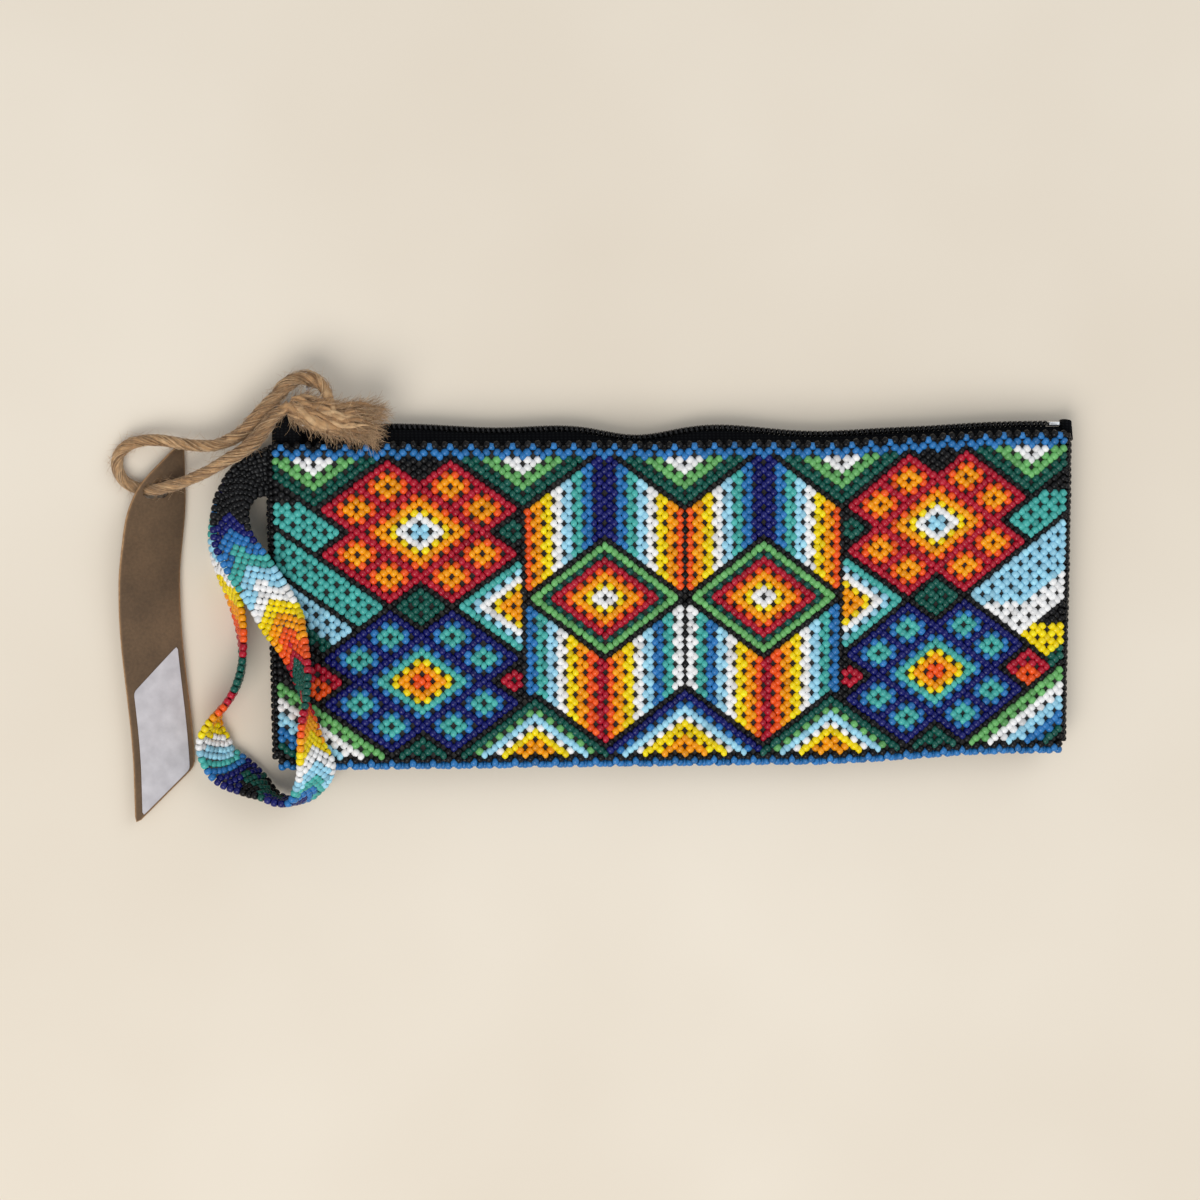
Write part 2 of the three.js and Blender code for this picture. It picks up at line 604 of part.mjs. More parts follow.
// A strip with both ends cut on the same slant; its right side starts at the origin and runs down
function slantedStrip(width, edge, slant, radius) {
  const corners = [[0, 0], [-width, -slant], [-width, -slant - edge], [0, -edge]];
  const shape = new THREE.Shape();
  corners.forEach((corner, i) => {
    const before = new THREE.Vector2(...corners[(i + 3) % 4]);
    const here = new THREE.Vector2(...corner);
    const after = new THREE.Vector2(...corners[(i + 1) % 4]);
    const start = here.clone().add(before.sub(here).setLength(radius));
    const end = here.clone().add(after.sub(here).setLength(radius));
    shape[i ? 'lineTo' : 'moveTo'](start.x, start.y);
    shape.quadraticCurveTo(here.x, here.y, end.x, end.y);
  });
  return shape;
}

function hangTag() {
  const shape = slantedStrip(TAG_WIDTH, TAG_EDGE, TAG_SLANT, TAG_CORNER);
  const hole = new THREE.Path();
  const run = (HOLE_LENGTH - HOLE_WIDTH) / 2;
  hole.absarc(run - HOLE_FROM_EDGE, -HOLE_FROM_TOP, HOLE_WIDTH / 2, -Math.PI / 2, Math.PI / 2);
  hole.absarc(-run - HOLE_FROM_EDGE, -HOLE_FROM_TOP, HOLE_WIDTH / 2, Math.PI / 2, 1.5 * Math.PI);
  shape.holes.push(hole);
  const slope = TAG_SLANT / TAG_WIDTH;
  const labelEdge = TAG_EDGE - LABEL_FROM_TOP - LABEL_INSET;
  const labelShape = slantedStrip(LABEL_WIDTH, labelEdge, slope * LABEL_WIDTH, TAG_CORNER / 2);
  const label = prism(labelShape, 0, LABEL_THICKNESS);
  label.translate(-LABEL_INSET, -LABEL_FROM_TOP - slope * LABEL_INSET, TAG_THICKNESS + SEAT_GAP);
  const group = new THREE.Group();
  group.add(mesh('tag', prism(shape, 0, TAG_THICKNESS), 'tag', 0.6));
  group.add(mesh('tag_label', label, 'label', 0.6));
  group.position.set(...TAG_TOP_CORNER, TAG_FLOOR_GAP);
  group.rotation.set(0, THREE.MathUtils.degToRad(TAG_ROLL), THREE.MathUtils.degToRad(TAG_TURN), 'ZYX');
  return group;
}

// The twine's route: from the knot along the front strand, through the tag's hole, under the tag,
// round its left side and back over its tip to the knot
const TWINE_ROUTE = [
  [-99, 52, 11.8], [-101.8, 50.1, 11.8], [-104.3, 47.2, 12.3], [-106.8, 44.1, 12.9], [-110.4, 40.8, 13.4],
  [-115.6, 37.6, 12], [-121.4, 34.4, 8.9], [-127.6, 31.8, 5.9], [-131.2, 30.8, 4.9], [-134.6, 30.2, 3.55],
  [-138, 30.4, 2.05], [-141.7, 32.1, 1.7], [-143.7, 35.5, 1.8], [-143.3, 39.3, 2.4], [-140.2, 42, 3.2],
  [-133.6, 43, 4.3], [-125.4, 41.8, 5.2], [-118.6, 41.6, 7.4], [-112.8, 43.9, 10.2], [-108.5, 47.5, 11],
  [-104.9, 51.3, 10.6], [-102.3, 54.2, 10.2], [-99.9, 56.9, 10], [-97.6, 58.5, 9.9], [-94.9, 59, 10],
  [-92.3, 58.2, 10.2], [-90.2, 56.4, 10.7], [-88.95, 53.3, 11.5],
];

function twine() {
  const path = new THREE.CatmullRomCurve3(TWINE_ROUTE.map((point) => new THREE.Vector3(...point)));
  const section = new THREE.Shape();
  for (let side = 0; side < TWINE_SIDES; side++) {
    const angle = 2 * Math.PI * side / TWINE_SIDES;
    const place = [TWINE_DIAMETER / 2 * Math.cos(angle), TWINE_DIAMETER / 2 * Math.sin(angle)];
    section[side ? 'lineTo' : 'moveTo'](...place);
  }
  const geometry = new THREE.ExtrudeGeometry(section, { steps: TWINE_STEPS, extrudePath: path });
  return mesh('twine', geometry, 'twine', 0.95);
}

// The knot and its frayed ends: a lumpy spindle that rests on the bag's top edge
function twineKnot() {
  const start = new THREE.Vector3(-97.8, 51.4, 12);
  const end = new THREE.Vector3(-73, 44.2, FIELD_TOP + 2);
  const length = start.distanceTo(end);
  const profile = [
    [0, 0], [1.9, 0.5], [3, 2.2], [3.4, 5], [3.2, 9], [3.6, 13], [4.6, 17], [4.9, 20.5],
    [3.6, length - 1.2], [0, length],
  ];
  const turned = profile.map(([radius, along]) => new THREE.Vector2(radius, along));
  const geometry = new THREE.LatheGeometry(turned, 12);
  const axis = end.clone().sub(start).normalize();
  const side = new THREE.Vector3(0, 0, 1).cross(axis).normalize();
  const up = axis.clone().cross(side);
  geometry.scale(1, 1, TUFT_FLATTEN);
  geometry.applyMatrix4(new THREE.Matrix4().makeBasis(side.negate(), axis, up));
  geometry.translate(start.x, start.y, start.z);
  return mesh('twine_knot', geometry, 'twine', 0.95);
}

const bag = new THREE.Group();
bag.add(...pouch(), beadGround(), ...borders(), ...triangles(), ...eyes(), ...flowers(), ...sideBands());
bag.add(...zip(), slider(), pull(), ...strap(), hangTag(), twine(), twineKnot());

export default bag;
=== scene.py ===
import math

import bpy
import numpy as np
from mathutils import Matrix, Vector


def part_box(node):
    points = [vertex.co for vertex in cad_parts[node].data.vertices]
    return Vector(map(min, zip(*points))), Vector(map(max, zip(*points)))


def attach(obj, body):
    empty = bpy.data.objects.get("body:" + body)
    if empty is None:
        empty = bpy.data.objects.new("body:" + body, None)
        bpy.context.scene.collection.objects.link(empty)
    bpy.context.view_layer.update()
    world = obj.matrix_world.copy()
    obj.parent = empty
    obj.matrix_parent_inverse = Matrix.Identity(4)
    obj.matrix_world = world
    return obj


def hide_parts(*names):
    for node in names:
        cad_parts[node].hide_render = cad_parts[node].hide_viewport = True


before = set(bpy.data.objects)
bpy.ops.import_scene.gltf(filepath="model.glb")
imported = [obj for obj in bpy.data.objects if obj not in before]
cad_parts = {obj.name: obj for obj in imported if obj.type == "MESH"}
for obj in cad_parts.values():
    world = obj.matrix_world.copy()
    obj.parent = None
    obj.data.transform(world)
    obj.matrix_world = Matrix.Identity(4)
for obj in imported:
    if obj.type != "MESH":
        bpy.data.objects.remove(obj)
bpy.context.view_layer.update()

MM = 0.001
rng = np.random.default_rng(11)

# Sizes in millimetres that the solids have too
HALF_LENGTH = 104.0
HALF_HEIGHT = 41.5
CORNER_RADIUS = 4.0
LEATHER = 1.3
FRONT_UNDER = 7.7
FRONT_TOP = FRONT_UNDER + LEATHER
FIELD_TOP = 11.2
BEAD_COLUMNS = 160
BEAD_COLUMN = 2 * HALF_LENGTH / BEAD_COLUMNS
BEAD_ROWS = 85.5
BEAD_ROW = 2 * HALF_HEIGHT / BEAD_ROWS
ROWS_ABOVE_ZERO = 3
NET_DRIFT = 2.3
ZIP_MIDDLE = 4.5
TAPE_HALF_LENGTH = 101.3
COIL_FOOT = 45.5
COIL_TOP = 47.1
COIL_LEFT = -99.1
SLIDER_X = -94.3
SLIDER_LENGTH = 9.0
SLIDER_FACE = 47.4
SLIDER_TOP = 48.6
STRAP_WIDTH = 12.0
STRAP_THICKNESS = 2.0
STRAP_FLOOR = 1.2
TWINE_DIAMETER = 2.8

# Bead colours in sRGB, each with the letter that the pattern uses
BEAD_COLOURS = {
    "K": ("black", (17, 17, 19)),
    "N": ("navy", (8, 16, 100)),
    "B": ("blue", (42, 118, 184)),
    "T": ("teal", (72, 176, 168)),
    "L": ("light_blue", (158, 216, 240)),
    "W": ("white", (246, 246, 246)),
    "D": ("dark_green", (10, 86, 74)),
    "G": ("light_green", (108, 180, 104)),
    "R": ("red", (178, 16, 44)),
    "V": ("red_orange", (246, 88, 22)),
    "O": ("orange", (252, 160, 0)),
    "Y": ("yellow", (250, 220, 0)),
}


def linear(srgb):
    share = np.array(srgb, float) / 255
    return np.where(share <= 0.04045, share / 12.92, ((share + 0.055) / 1.055) ** 2.4)


def smoothstep(value, low, high):
    share = np.clip((value - low) / (high - low), 0, 1)
    return share * share * (3 - 2 * share)


def unit(vectors):
    """Each row of an array, scaled to a length of 1."""
    return vectors / np.linalg.norm(vectors, axis=1)[:, None]


# Meshes
class Shape:
    """Bodies in millimetres, gathered for one piece, with a tone for each point."""

    def __init__(self):
        self.points = []
        self.faces = []
        self.tones = []
        self.count = 0

    def add(self, body, tone=0.5):
        points, faces = body
        self.points.append(points)
        self.faces.extend([index + self.count for index in face] for face in faces)
        self.tones.append(np.broadcast_to(tone, len(points)))
        self.count += len(points)
        return self

    def piece(self, name, material, slot=None, replaces=(), body="bag"):
        mesh = bpy.data.meshes.new(name)
        mesh.from_pydata((np.concatenate(self.points) * MM).tolist(), [], self.faces)
        tone = mesh.attributes.new("tone", "FLOAT", "POINT")
        tone.data.foreach_set("value", np.concatenate(self.tones).astype(np.float32))
        mesh.polygons.foreach_set("use_smooth", np.full(len(mesh.polygons), True))
        mesh.materials.append(material)
        mesh.update(calc_edges=True)
        piece = bpy.data.objects.new(name, mesh)
        bpy.context.scene.collection.objects.link(piece)
        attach(piece, body)
        if replaces:
            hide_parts(*replaces)
        return piece


def curve_points(route, places):
    """Points of a centripetal curve through the route, as the solids follow it, at places from 0 to 1."""
    route = np.asarray(route, float)
    ends = np.vstack([2 * route[0] - route[1], route, 2 * route[-1] - route[-2]])
    spans = len(route) - 1
    found = []
    for place in places:
        span = min(int(place * spans), spans - 1)
        share = place * spans - span
        a, b, c, d = ends[span:span + 4]
        first, middle, last = (np.linalg.norm(q - p) ** 0.5 for p, q in ((a, b), (b, c), (c, d)))
        leave = ((b - a) / first - (c - a) / (first + middle) + (c - b) / middle) * middle
        arrive = ((c - b) / middle - (d - b) / (middle + last) + (d - c) / last) * middle
        found.append(
            b + leave * share
            + (-3 * b + 3 * c - 2 * leave - arrive) * share ** 2
            + (2 * b - 2 * c + leave + arrive) * share ** 3
        )
    return np.array(found)


def lengths_along(path):
    return np.concatenate([[0], np.cumsum(np.linalg.norm(np.diff(path, axis=0), axis=1))])


def even_points(path, spans):
    """The same path with points at an even distance, in a number of spans."""
    along = lengths_along(path)
    places = np.linspace(0, along[-1], spans + 1)
    return np.stack([np.interp(places, along, values) for values in path.T], axis=1)


def even_path(path, step):
    return even_points(path, max(int(round(lengths_along(path)[-1] / step)), 2))


def frames_along(path):
    """Tangents, normals and binormals along a path, without twist."""
    tangents = unit(np.gradient(path, axis=0))
    normals = np.zeros_like(path)
    normal = np.array((0.0, 0.0, 1.0))
    for index, tangent in enumerate(tangents):
        normal = normal - tangent * (normal @ tangent)
        if np.linalg.norm(normal) < 1e-6:
            normal = np.cross(tangent, (1, 0, 0))
        normal = normal / np.linalg.norm(normal)
        normals[index] = normal
    return tangents, normals, np.cross(tangents, normals)


def around(angle, normals, binormals):
    """The direction at an angle round a path."""
    return np.cos(angle)[..., None] * normals + np.sin(angle)[..., None] * binormals


def quads_across(loop, end):
    """Faces that fill a long loop from side to side, with one face at each end.

    The loop starts at the middle of one end, and half an end has the given number of points.
    """
    stop = len(loop) // 2 - 1 - end
    across = [[loop[step], loop[step + 1], loop[-2 - step], loop[-1 - step]] for step in range(end, stop)]
    return [loop[-1 - end:] + loop[:end + 1], *across, loop[stop:len(loop) - stop]]


def ring_stack(rings, fill=lambda loop: [loop]):
    """A closed body through rings of equally many points, whose two ends are one face or filled as told."""
    count = len(rings[0])
    faces = []
    for level in range(len(rings) - 1):
        for side in range(count):
            here = level * count + side
            beside = level * count + (side + 1) % count
            faces.append([here, beside, beside + count, here + count])
    first = list(range(count))
    last = [(len(rings) - 1) * count + side for side in first]
    return np.concatenate(rings), faces + fill(first[::-1]) + fill(last)


def tube(path, radius, sides, flatness=1.0):
    """A closed tube along a path, with one radius or one for each point, narrower sideways if told."""
    path = np.asarray(path, float)
    _, normals, binormals = frames_along(path)
    angles = np.arange(sides) * 2 * math.pi / sides
    ring = around(angles, normals[:, None], flatness * binormals[:, None])
    return ring_stack(path[:, None] + ring * np.broadcast_to(radius, len(path))[:, None, None])


def at_height(outline, height):
    return np.column_stack([outline, np.full(len(outline), height, float)])


def corner_arcs(centre_x, centre_y, radius, steps):
    """Four quarter arcs about the corners of a rectangle, anticlockwise from the upper right one."""
    points = []
    for side_x, side_y, first in [(1, 1, 0), (-1, 1, 90), (-1, -1, 180), (1, -1, 270)]:
        for angle in np.radians(np.linspace(first, first + 90, steps)):
            x = side_x * centre_x + radius * math.cos(angle)
            y = side_y * centre_y + radius * math.sin(angle)
            points.append((x, y))
    return np.array(points)


def rounded_outline(half_x, half_y, radius, spacing=2.0):
    """A rounded rectangle as an anticlockwise outline of even points."""
    arcs = corner_arcs(half_x - radius, half_y - radius, radius, 9)
    return even_path(np.vstack([arcs, arcs[:1]]), spacing)[:-1]


def rounded_box(low, high, bevel):
    """A box with rounded edges, as a stack of rounded rings along Z."""
    low, high = np.array(low, float), np.array(high, float)
    middle, half = (low + high) / 2, (high - low) / 2
    bevel = min(bevel, *(half * 0.95))
    rings = []
    for angle in np.radians(np.linspace(-90, 90, 7)):
        radius = bevel - bevel * (1 - math.cos(angle))
        level = (half[2] - bevel) * (1 if angle > 0 else -1) + bevel * math.sin(angle)
        outline = middle[:2] + corner_arcs(half[0] - bevel, half[1] - bevel, radius, 5)
        rings.append(at_height(outline, middle[2] + level))
    return ring_stack(rings)


# Materials; the scales of noises and weaves are for each metre
class Nodes:
    """A Principled material and short ways to add nodes to it."""

    def __init__(self, name, roughness, specular=0.5, metallic=0.0):
        self.material = bpy.data.materials.new(name)
        self.material.use_nodes = True
        self.tree = self.material.node_tree
        self.shader = self.tree.nodes["Principled BSDF"]
        self.shader.inputs["Roughness"].default_value = roughness
        self.shader.inputs["Specular IOR Level"].default_value = specular
        self.shader.inputs["Metallic"].default_value = metallic

    def node(self, kind, inputs, **settings):
        made = self.tree.nodes.new(kind)
        for key, value in settings.items():
            setattr(made, key, value)
        for key, value in inputs.items():
            if isinstance(value, bpy.types.NodeSocket):
                self.tree.links.new(value, made.inputs[key])
            else:
                made.inputs[key].default_value = value
        return made

    def place(self, stretch=(1, 1, 1)):
        coordinates = self.node("ShaderNodeTexCoord", {}).outputs["Object"]
        return self.node("ShaderNodeMapping", {"Vector": coordinates, "Scale": stretch}).outputs[0]

    def noise(self, scale, detail, stretch=(1, 1, 1)):
        inputs = {"Vector": self.place(stretch), "Scale": scale, "Detail": detail}
        return self.node("ShaderNodeTexNoise", inputs).outputs[0]

    def tone(self):
        return self.node("ShaderNodeAttribute", {}, attribute_name="tone").outputs["Fac"]

    def ramp(self, factor, stops):
        made = self.node("ShaderNodeValToRGB", {"Fac": factor})
        elements = made.color_ramp.elements
        while len(elements) < len(stops):
            elements.new(0.5)
        for element, (place, colour) in zip(elements, stops):
            element.position = place
            element.color = (*colour, 1)
        return made.outputs[0]

    def mix(self, factor, first, second, blend="MIX"):
        inputs = {0: factor, 6: first, 7: second}
        return self.node("ShaderNodeMix", inputs, data_type="RGBA", blend_type=blend).outputs[2]

    def shaded(self, colour, factor, darkest, full):
        """A colour that is darkest at a factor of 0.3 and has its full value from a higher factor on."""
        shade = self.ramp(factor, [(0.3, (darkest,) * 3), (full, (1.0,) * 3)])
        return self.mix(1.0, colour, shade, "MULTIPLY")

    def maths(self, operation, *values):
        return self.node("ShaderNodeMath", dict(enumerate(values)), operation=operation).outputs[0]

    def spread(self, value, low, high):
        return self.node("ShaderNodeMapRange", {"Value": value, "To Min": low, "To Max": high}).outputs[0]

    def set(self, socket, value):
        self.tree.links.new(value, self.shader.inputs[socket])

    def bump(self, height, strength, distance):
        inputs = {"Height": height, "Strength": strength, "Distance": distance}
        self.set("Normal", self.node("ShaderNodeBump", inputs).outputs[0])


def mottled_material(name, roughness, colour_noise, stops, relief=None, relief_noise=None, specular=0.5):
    """Shades that follow a noise, and a relief of a strength and a depth that follows it or another one."""
    nodes = Nodes(name, roughness, specular)
    mottle = nodes.noise(*colour_noise)
    nodes.set("Base Color", nodes.ramp(mottle, stops))
    if relief:
        nodes.bump(nodes.noise(*relief_noise) if relief_noise else mottle, *relief)
    return nodes.material


def woven_material(name, roughness, specular, threads, distortion, join, stops, relief):
    """A weave of threads across X and across Y."""
    nodes = Nodes(name, roughness, specular)
    place = nodes.place()
    waves = []
    for way, scale in zip("XY", threads):
        inputs = {"Vector": place, "Scale": scale, "Distortion": distortion}
        waves.append(nodes.node("ShaderNodeTexWave", inputs, bands_direction=way).outputs[1])
    weave = nodes.maths(join, *waves)
    nodes.set("Base Color", nodes.ramp(weave, stops))
    nodes.bump(weave, *relief)
    return nodes.material


def bead_material(name, srgb):
    nodes = Nodes(f"bead_{name}", 0.24, 0.2 if name == "black" else 0.36)
    base = linear(srgb)
    light = np.minimum(base * 1.2 + 0.008, 1)
    shades = nodes.ramp(nodes.tone(), [(0, base * 0.68), (0.5, base), (1, light)])
    nodes.set("Base Color", nodes.shaded(shades, nodes.noise(1400, 2), 0.86, 0.7))
    nodes.set("Roughness", nodes.spread(nodes.noise(900, 2), 0.17, 0.36))
    nodes.bump(nodes.noise(2600, 2), 0.12, 0.00008)
    return nodes.material


def leather_material():
    """Black leather with a pebbled grain."""
    nodes = Nodes("black_leather", 0.5)
    inputs = {"Vector": nodes.place(), "Scale": 780.0}
    cells = nodes.node("ShaderNodeTexVoronoi", inputs, feature="DISTANCE_TO_EDGE")
    grain = nodes.ramp(cells.outputs["Distance"], [(0.0, (0, 0, 0)), (0.22, (1, 1, 1))])
    fine = nodes.noise(2600, 4)
    colour = nodes.ramp(nodes.noise(45, 5), [(0.3, (0.008, 0.008, 0.009)), (0.72, (0.022, 0.021, 0.022))])
    nodes.set("Base Color", nodes.mix(0.35, colour, nodes.mix(1.0, colour, grain, "MULTIPLY")))
    nodes.set("Roughness", nodes.spread(fine, 0.4, 0.62))
    nodes.bump(nodes.maths("ADD", grain, nodes.maths("MULTIPLY", fine, 0.35)), 0.55, 0.00018)
    return nodes.material


def metal_material():
    nodes = Nodes("zip_metal", 0.28, metallic=1.0)
    brushed = nodes.noise(1500, 4, (1, 12, 12))
    nodes.set("Base Color", nodes.ramp(brushed, [(0.25, (0.68, 0.68, 0.69)), (0.75, (0.86, 0.86, 0.87))]))
    nodes.set("Roughness", nodes.spread(nodes.noise(600, 4), 0.18, 0.42))
    nodes.bump(brushed, 0.12, 0.00005)
    return nodes.material


def jute_material():
    nodes = Nodes("jute", 0.9)
    nodes.shader.inputs["Sheen Weight"].default_value = 0.2
    shades = [(0.0, (140, 104, 68)), (0.5, (194, 152, 106)), (1.0, (234, 200, 154))]
    strand = nodes.ramp(nodes.tone(), [(place, linear(srgb)) for place, srgb in shades])
    strands = nodes.noise(900, 6)
    nodes.set("Base Color", nodes.shaded(strand, strands, 0.7, 0.68))
    nodes.bump(strands, 0.5, 0.00025)
    return nodes.material


def tag_material():
    """Brown leather whose face is darkened by painted shade and whose cut edge is a light tan, partly the
    raw edge and partly a painted highlight; a tone of 1 marks the edge.
    """
    nodes = Nodes("tag_leather", 0.6, 0.3)
    grain = nodes.noise(1300, 6)
    # Painted shade: the face's browns are darker than the leather itself, as for a face lying in shade
    face = nodes.ramp(nodes.noise(90, 5), [(0.3, linear((88, 68, 48))), (0.7, linear((108, 84, 60)))])
    # The edge's tan is the raw cut edge, made lighter still by a painted highlight
    edge = nodes.ramp(nodes.noise(800, 4), [(0.3, linear((150, 112, 76))), (0.7, linear((190, 150, 108)))])
    nodes.set("Base Color", nodes.mix(nodes.tone(), nodes.shaded(face, grain, 0.8, 0.65), edge))
    nodes.bump(grain, 0.3, 0.00012)
    return nodes.material


beads = {letter: bead_material(name, srgb) for letter, (name, srgb) in BEAD_COLOURS.items()}
black_leather = leather_material()
woven_tape = woven_material(
    "woven_tape", 0.85, 0.08, (300.0, 420.0), 0.6, "MULTIPLY",
    [(0.0, (0.002, 0.002, 0.003)), (1.0, (0.009, 0.01, 0.011))], (0.5, 0.0002))
lining_cloth = woven_material(
    "lining_cloth", 0.9, 0.5, (500.0, 500.0), 0.4, "ADD",
    [(0.3, (0.014, 0.014, 0.016)), (1.0, (0.04, 0.04, 0.045))], (0.4, 0.00015))
bed_felt = mottled_material(
    "bed_felt", 0.95, (1500, 5), [(0.3, linear((34, 33, 33))), (0.7, linear((62, 60, 58)))],
    (0.5, 0.0002))
nylon = mottled_material(
    "nylon_coil", 0.5, (700, 3), [(0.3, (0.005, 0.005, 0.006)), (0.75, (0.017, 0.017, 0.019))],
    (0.15, 0.00005), (3000, 2), 0.3)
zip_metal = metal_material()
jute = jute_material()
tag_leather = tag_material()
# Painted shade: the label's grey stands for white paper lying in shade
label_paper = mottled_material(
    "label_paper", 0.6, (260, 6), [(0.35, linear((182, 178, 182))), (0.7, linear((202, 198, 202)))],
    (0.15, 0.00006), (2200, 3))
waxed_thread = mottled_material(
    "waxed_thread", 0.5, (1600, 3), [(0.3, (0.03, 0.03, 0.032)), (0.7, (0.09, 0.088, 0.085))],
    (0.4, 0.0001), (2400, 3))

# Camera: above the bag and a little towards its upper left, framed as the photograph
CAMERA_DISTANCE = 0.8
CAMERA_TARGET = Vector((-0.01913, 0.00108, 0.01))
CAMERA_LEAN = math.radians(4)
CAMERA_ROLL = 0.003
SENSOR_WIDTH = 36
FRAME_WIDTH = 0.312
camera = bpy.data.objects.new("camera", bpy.data.cameras.new("camera"))
bpy.context.scene.collection.objects.link(camera)
backward = Vector((-math.sin(CAMERA_LEAN), math.sin(CAMERA_LEAN), 1)).normalized()
rightward = Vector((math.sin(CAMERA_ROLL), math.cos(CAMERA_ROLL), 0)).cross(backward).normalized()
turned = Matrix((rightward, backward.cross(rightward), backward)).transposed().to_4x4()
camera.matrix_world = Matrix.Translation(CAMERA_TARGET + CAMERA_DISTANCE * backward) @ turned
camera.data.sensor_width = SENSOR_WIDTH
camera.data.lens = SENSOR_WIDTH * CAMERA_DISTANCE / FRAME_WIDTH
bpy.context.scene.camera = camera

# Twine: a three-ply jute cord from the knot through the tag and back to the knot
TWINE_ROUTE = [
    (-99, 52, 11.8), (-101.8, 50.1, 11.8), (-104.3, 47.2, 12.3), (-106.8, 44.1, 12.9), (-110.4, 40.8, 13.4),
    (-115.6, 37.6, 12), (-121.4, 34.4, 8.9), (-127.6, 31.8, 5.9), (-131.2, 30.8, 4.9), (-134.6, 30.2, 3.55),
    (-138, 30.4, 2.05), (-141.7, 32.1, 1.7), (-143.7, 35.5, 1.8), (-143.3, 39.3, 2.4), (-140.2, 42, 3.2),
    (-133.6, 43, 4.3), (-125.4, 41.8, 5.2), (-118.6, 41.6, 7.4), (-112.8, 43.9, 10.2), (-108.5, 47.5, 11),
    (-104.9, 51.3, 10.6), (-102.3, 54.2, 10.2), (-99.9, 56.9, 10), (-97.6, 58.5, 9.9), (-94.9, 59, 10),
    (-92.3, 58.2, 10.2), (-90.2, 56.4, 10.7), (-88.95, 53.3, 11.5),
]
TWINE_PITCH = 17.0
TWINE_RADIUS = TWINE_DIAMETER / 2
PLIES = 3
PLY_SIDES = 7
PLY_STEP = 0.55
PLY_RADIUS = TWINE_RADIUS * 0.69
PLY_SPREAD = TWINE_RADIUS * 0.36
LAID_FIBRES = 900
LOOSE_HAIRS = 900
HAIR_FLOOR = 1.2

# The knot's tuft: where it starts and ends, how far its end drifts sideways, how low its fibres reach
KNOT_START = np.array((-97.8, 51.4, 12))
TUFT_END = np.array((-73, 44.2, FIELD_TOP + 2))
TUFT_DRIFT = 1.6
TUFT_LOWEST = 8.8
TUFT_FIBRES = 3000
LOCKS = 130
LOCK_POINTS = 15
HEART_POINTS = 18
TUFT_REACH = np.linalg.norm(TUFT_END - KNOT_START)
TUFT_AXIS = (TUFT_END - KNOT_START) / TUFT_REACH
TUFT_SIDE = np.cross((0, 0, 1), TUFT_AXIS)
TUFT_SIDE /= np.linalg.norm(TUFT_SIDE)
TUFT_UP = np.cross(TUFT_AXIS, TUFT_SIDE)

# The two ends of the cord inside the tuft, as places along it, across it and above its middle
FIRST_END = [(2.6, -0.7, 1.3), (6.5, -1.9, 1.6), (11, -2, 1.2), (15, -1.6, 0.4)]
LAST_END = [(10.5, 1.0, 1.4), (13.5, 0.2, 1.4), (16.5, 0.6, 0.8)]


def plied(shape, path, taper=0):
    """Twisted plies round a path, which narrow at its end over the given number of points."""
    path = even_path(path, PLY_STEP)
    along = lengths_along(path)
    _, normals, binormals = frames_along(path)
    ply_radius = np.full(len(path), PLY_RADIUS)
    if taper:
        ply_radius[-taper:] *= np.linspace(1, 0.55, taper)
    for ply in range(PLIES):
        angle = 2 * math.pi * (ply / PLIES + along / TWINE_PITCH)
        centre = path + PLY_SPREAD * around(angle, normals, binormals)
        streaks = 0.1 * np.sin(np.repeat(along, PLY_SIDES) * 1.7 + ply)
        shape.add(tube(centre, ply_radius, PLY_SIDES), 0.36 + 0.14 * ply + streaks)


def fibre(shape, start, direction, length, radius, bend, steps, lowest):
    """One loose fibre that curls as it goes and stays above a height."""
    direction = direction / np.linalg.norm(direction)
    path = [start]
    turn = rng.normal(0, bend, 3)
    for _ in range(steps):
        turn = 0.6 * turn + rng.normal(0, bend * 0.5, 3)
        direction = direction + turn / steps
        direction = direction / np.linalg.norm(direction)
        path.append(path[-1] + direction * length / steps)
        path[-1][2] = max(path[-1][2], lowest)
    shape.add(tube(path, np.linspace(radius, radius * 0.35, len(path)), 3), rng.uniform(0.25, 1.0))


def laid_fibre(shape, path, normals, binormals):
    """One long fibre that lies in the twist on the outside of the twine, looser near the knot."""
    along = lengths_along(path)
    length = rng.uniform(6, 15)
    begin = rng.uniform(0, along[-1] - length)
    index = np.nonzero((along >= begin) & (along <= begin + length))[0][::3]
    angle = rng.uniform(0, 2 * math.pi) + 2 * math.pi * along[index] / TWINE_PITCH
    ring = around(angle, normals[index], binormals[index])
    loose = np.interp(path[index][:, 0], [-118, -108], [1.1, 1.5])
    lift = TWINE_RADIUS * (0.92 + (loose - 0.92) * rng.uniform() ** 1.5)
    body = tube(path[index] + lift[:, None] * ring, rng.uniform(0.05, 0.13), 3)
    shape.add(body, rng.uniform(0, 1))


def make_hairs(path):
    """The fibres on the twine: those laid in its twist, and short loose hairs off the floor."""
    shape = Shape()
    tangents, normals, binormals = frames_along(path)
    for _ in range(LAID_FIBRES):
        laid_fibre(shape, path, normals, binormals)
    for _ in range(LOOSE_HAIRS):
        index = int(rng.integers(3, len(path) - 3))
        outward = around(np.array(rng.uniform(0, 2 * math.pi)), normals[index], binormals[index])
        lean = tangents[index] * rng.choice([-1, 1]) * rng.uniform(0.8, 2.4) + outward + (0, 0, 0.2)
        start = path[index] + outward * TWINE_DIAMETER * 0.46
        if start[2] >= HAIR_FLOOR:
            fibre(shape, start, lean, rng.uniform(1.4, 4.0), rng.uniform(0.025, 0.05), 0.6, 4, 0.1)
    return shape.piece("twine_hairs", jute, "jute")


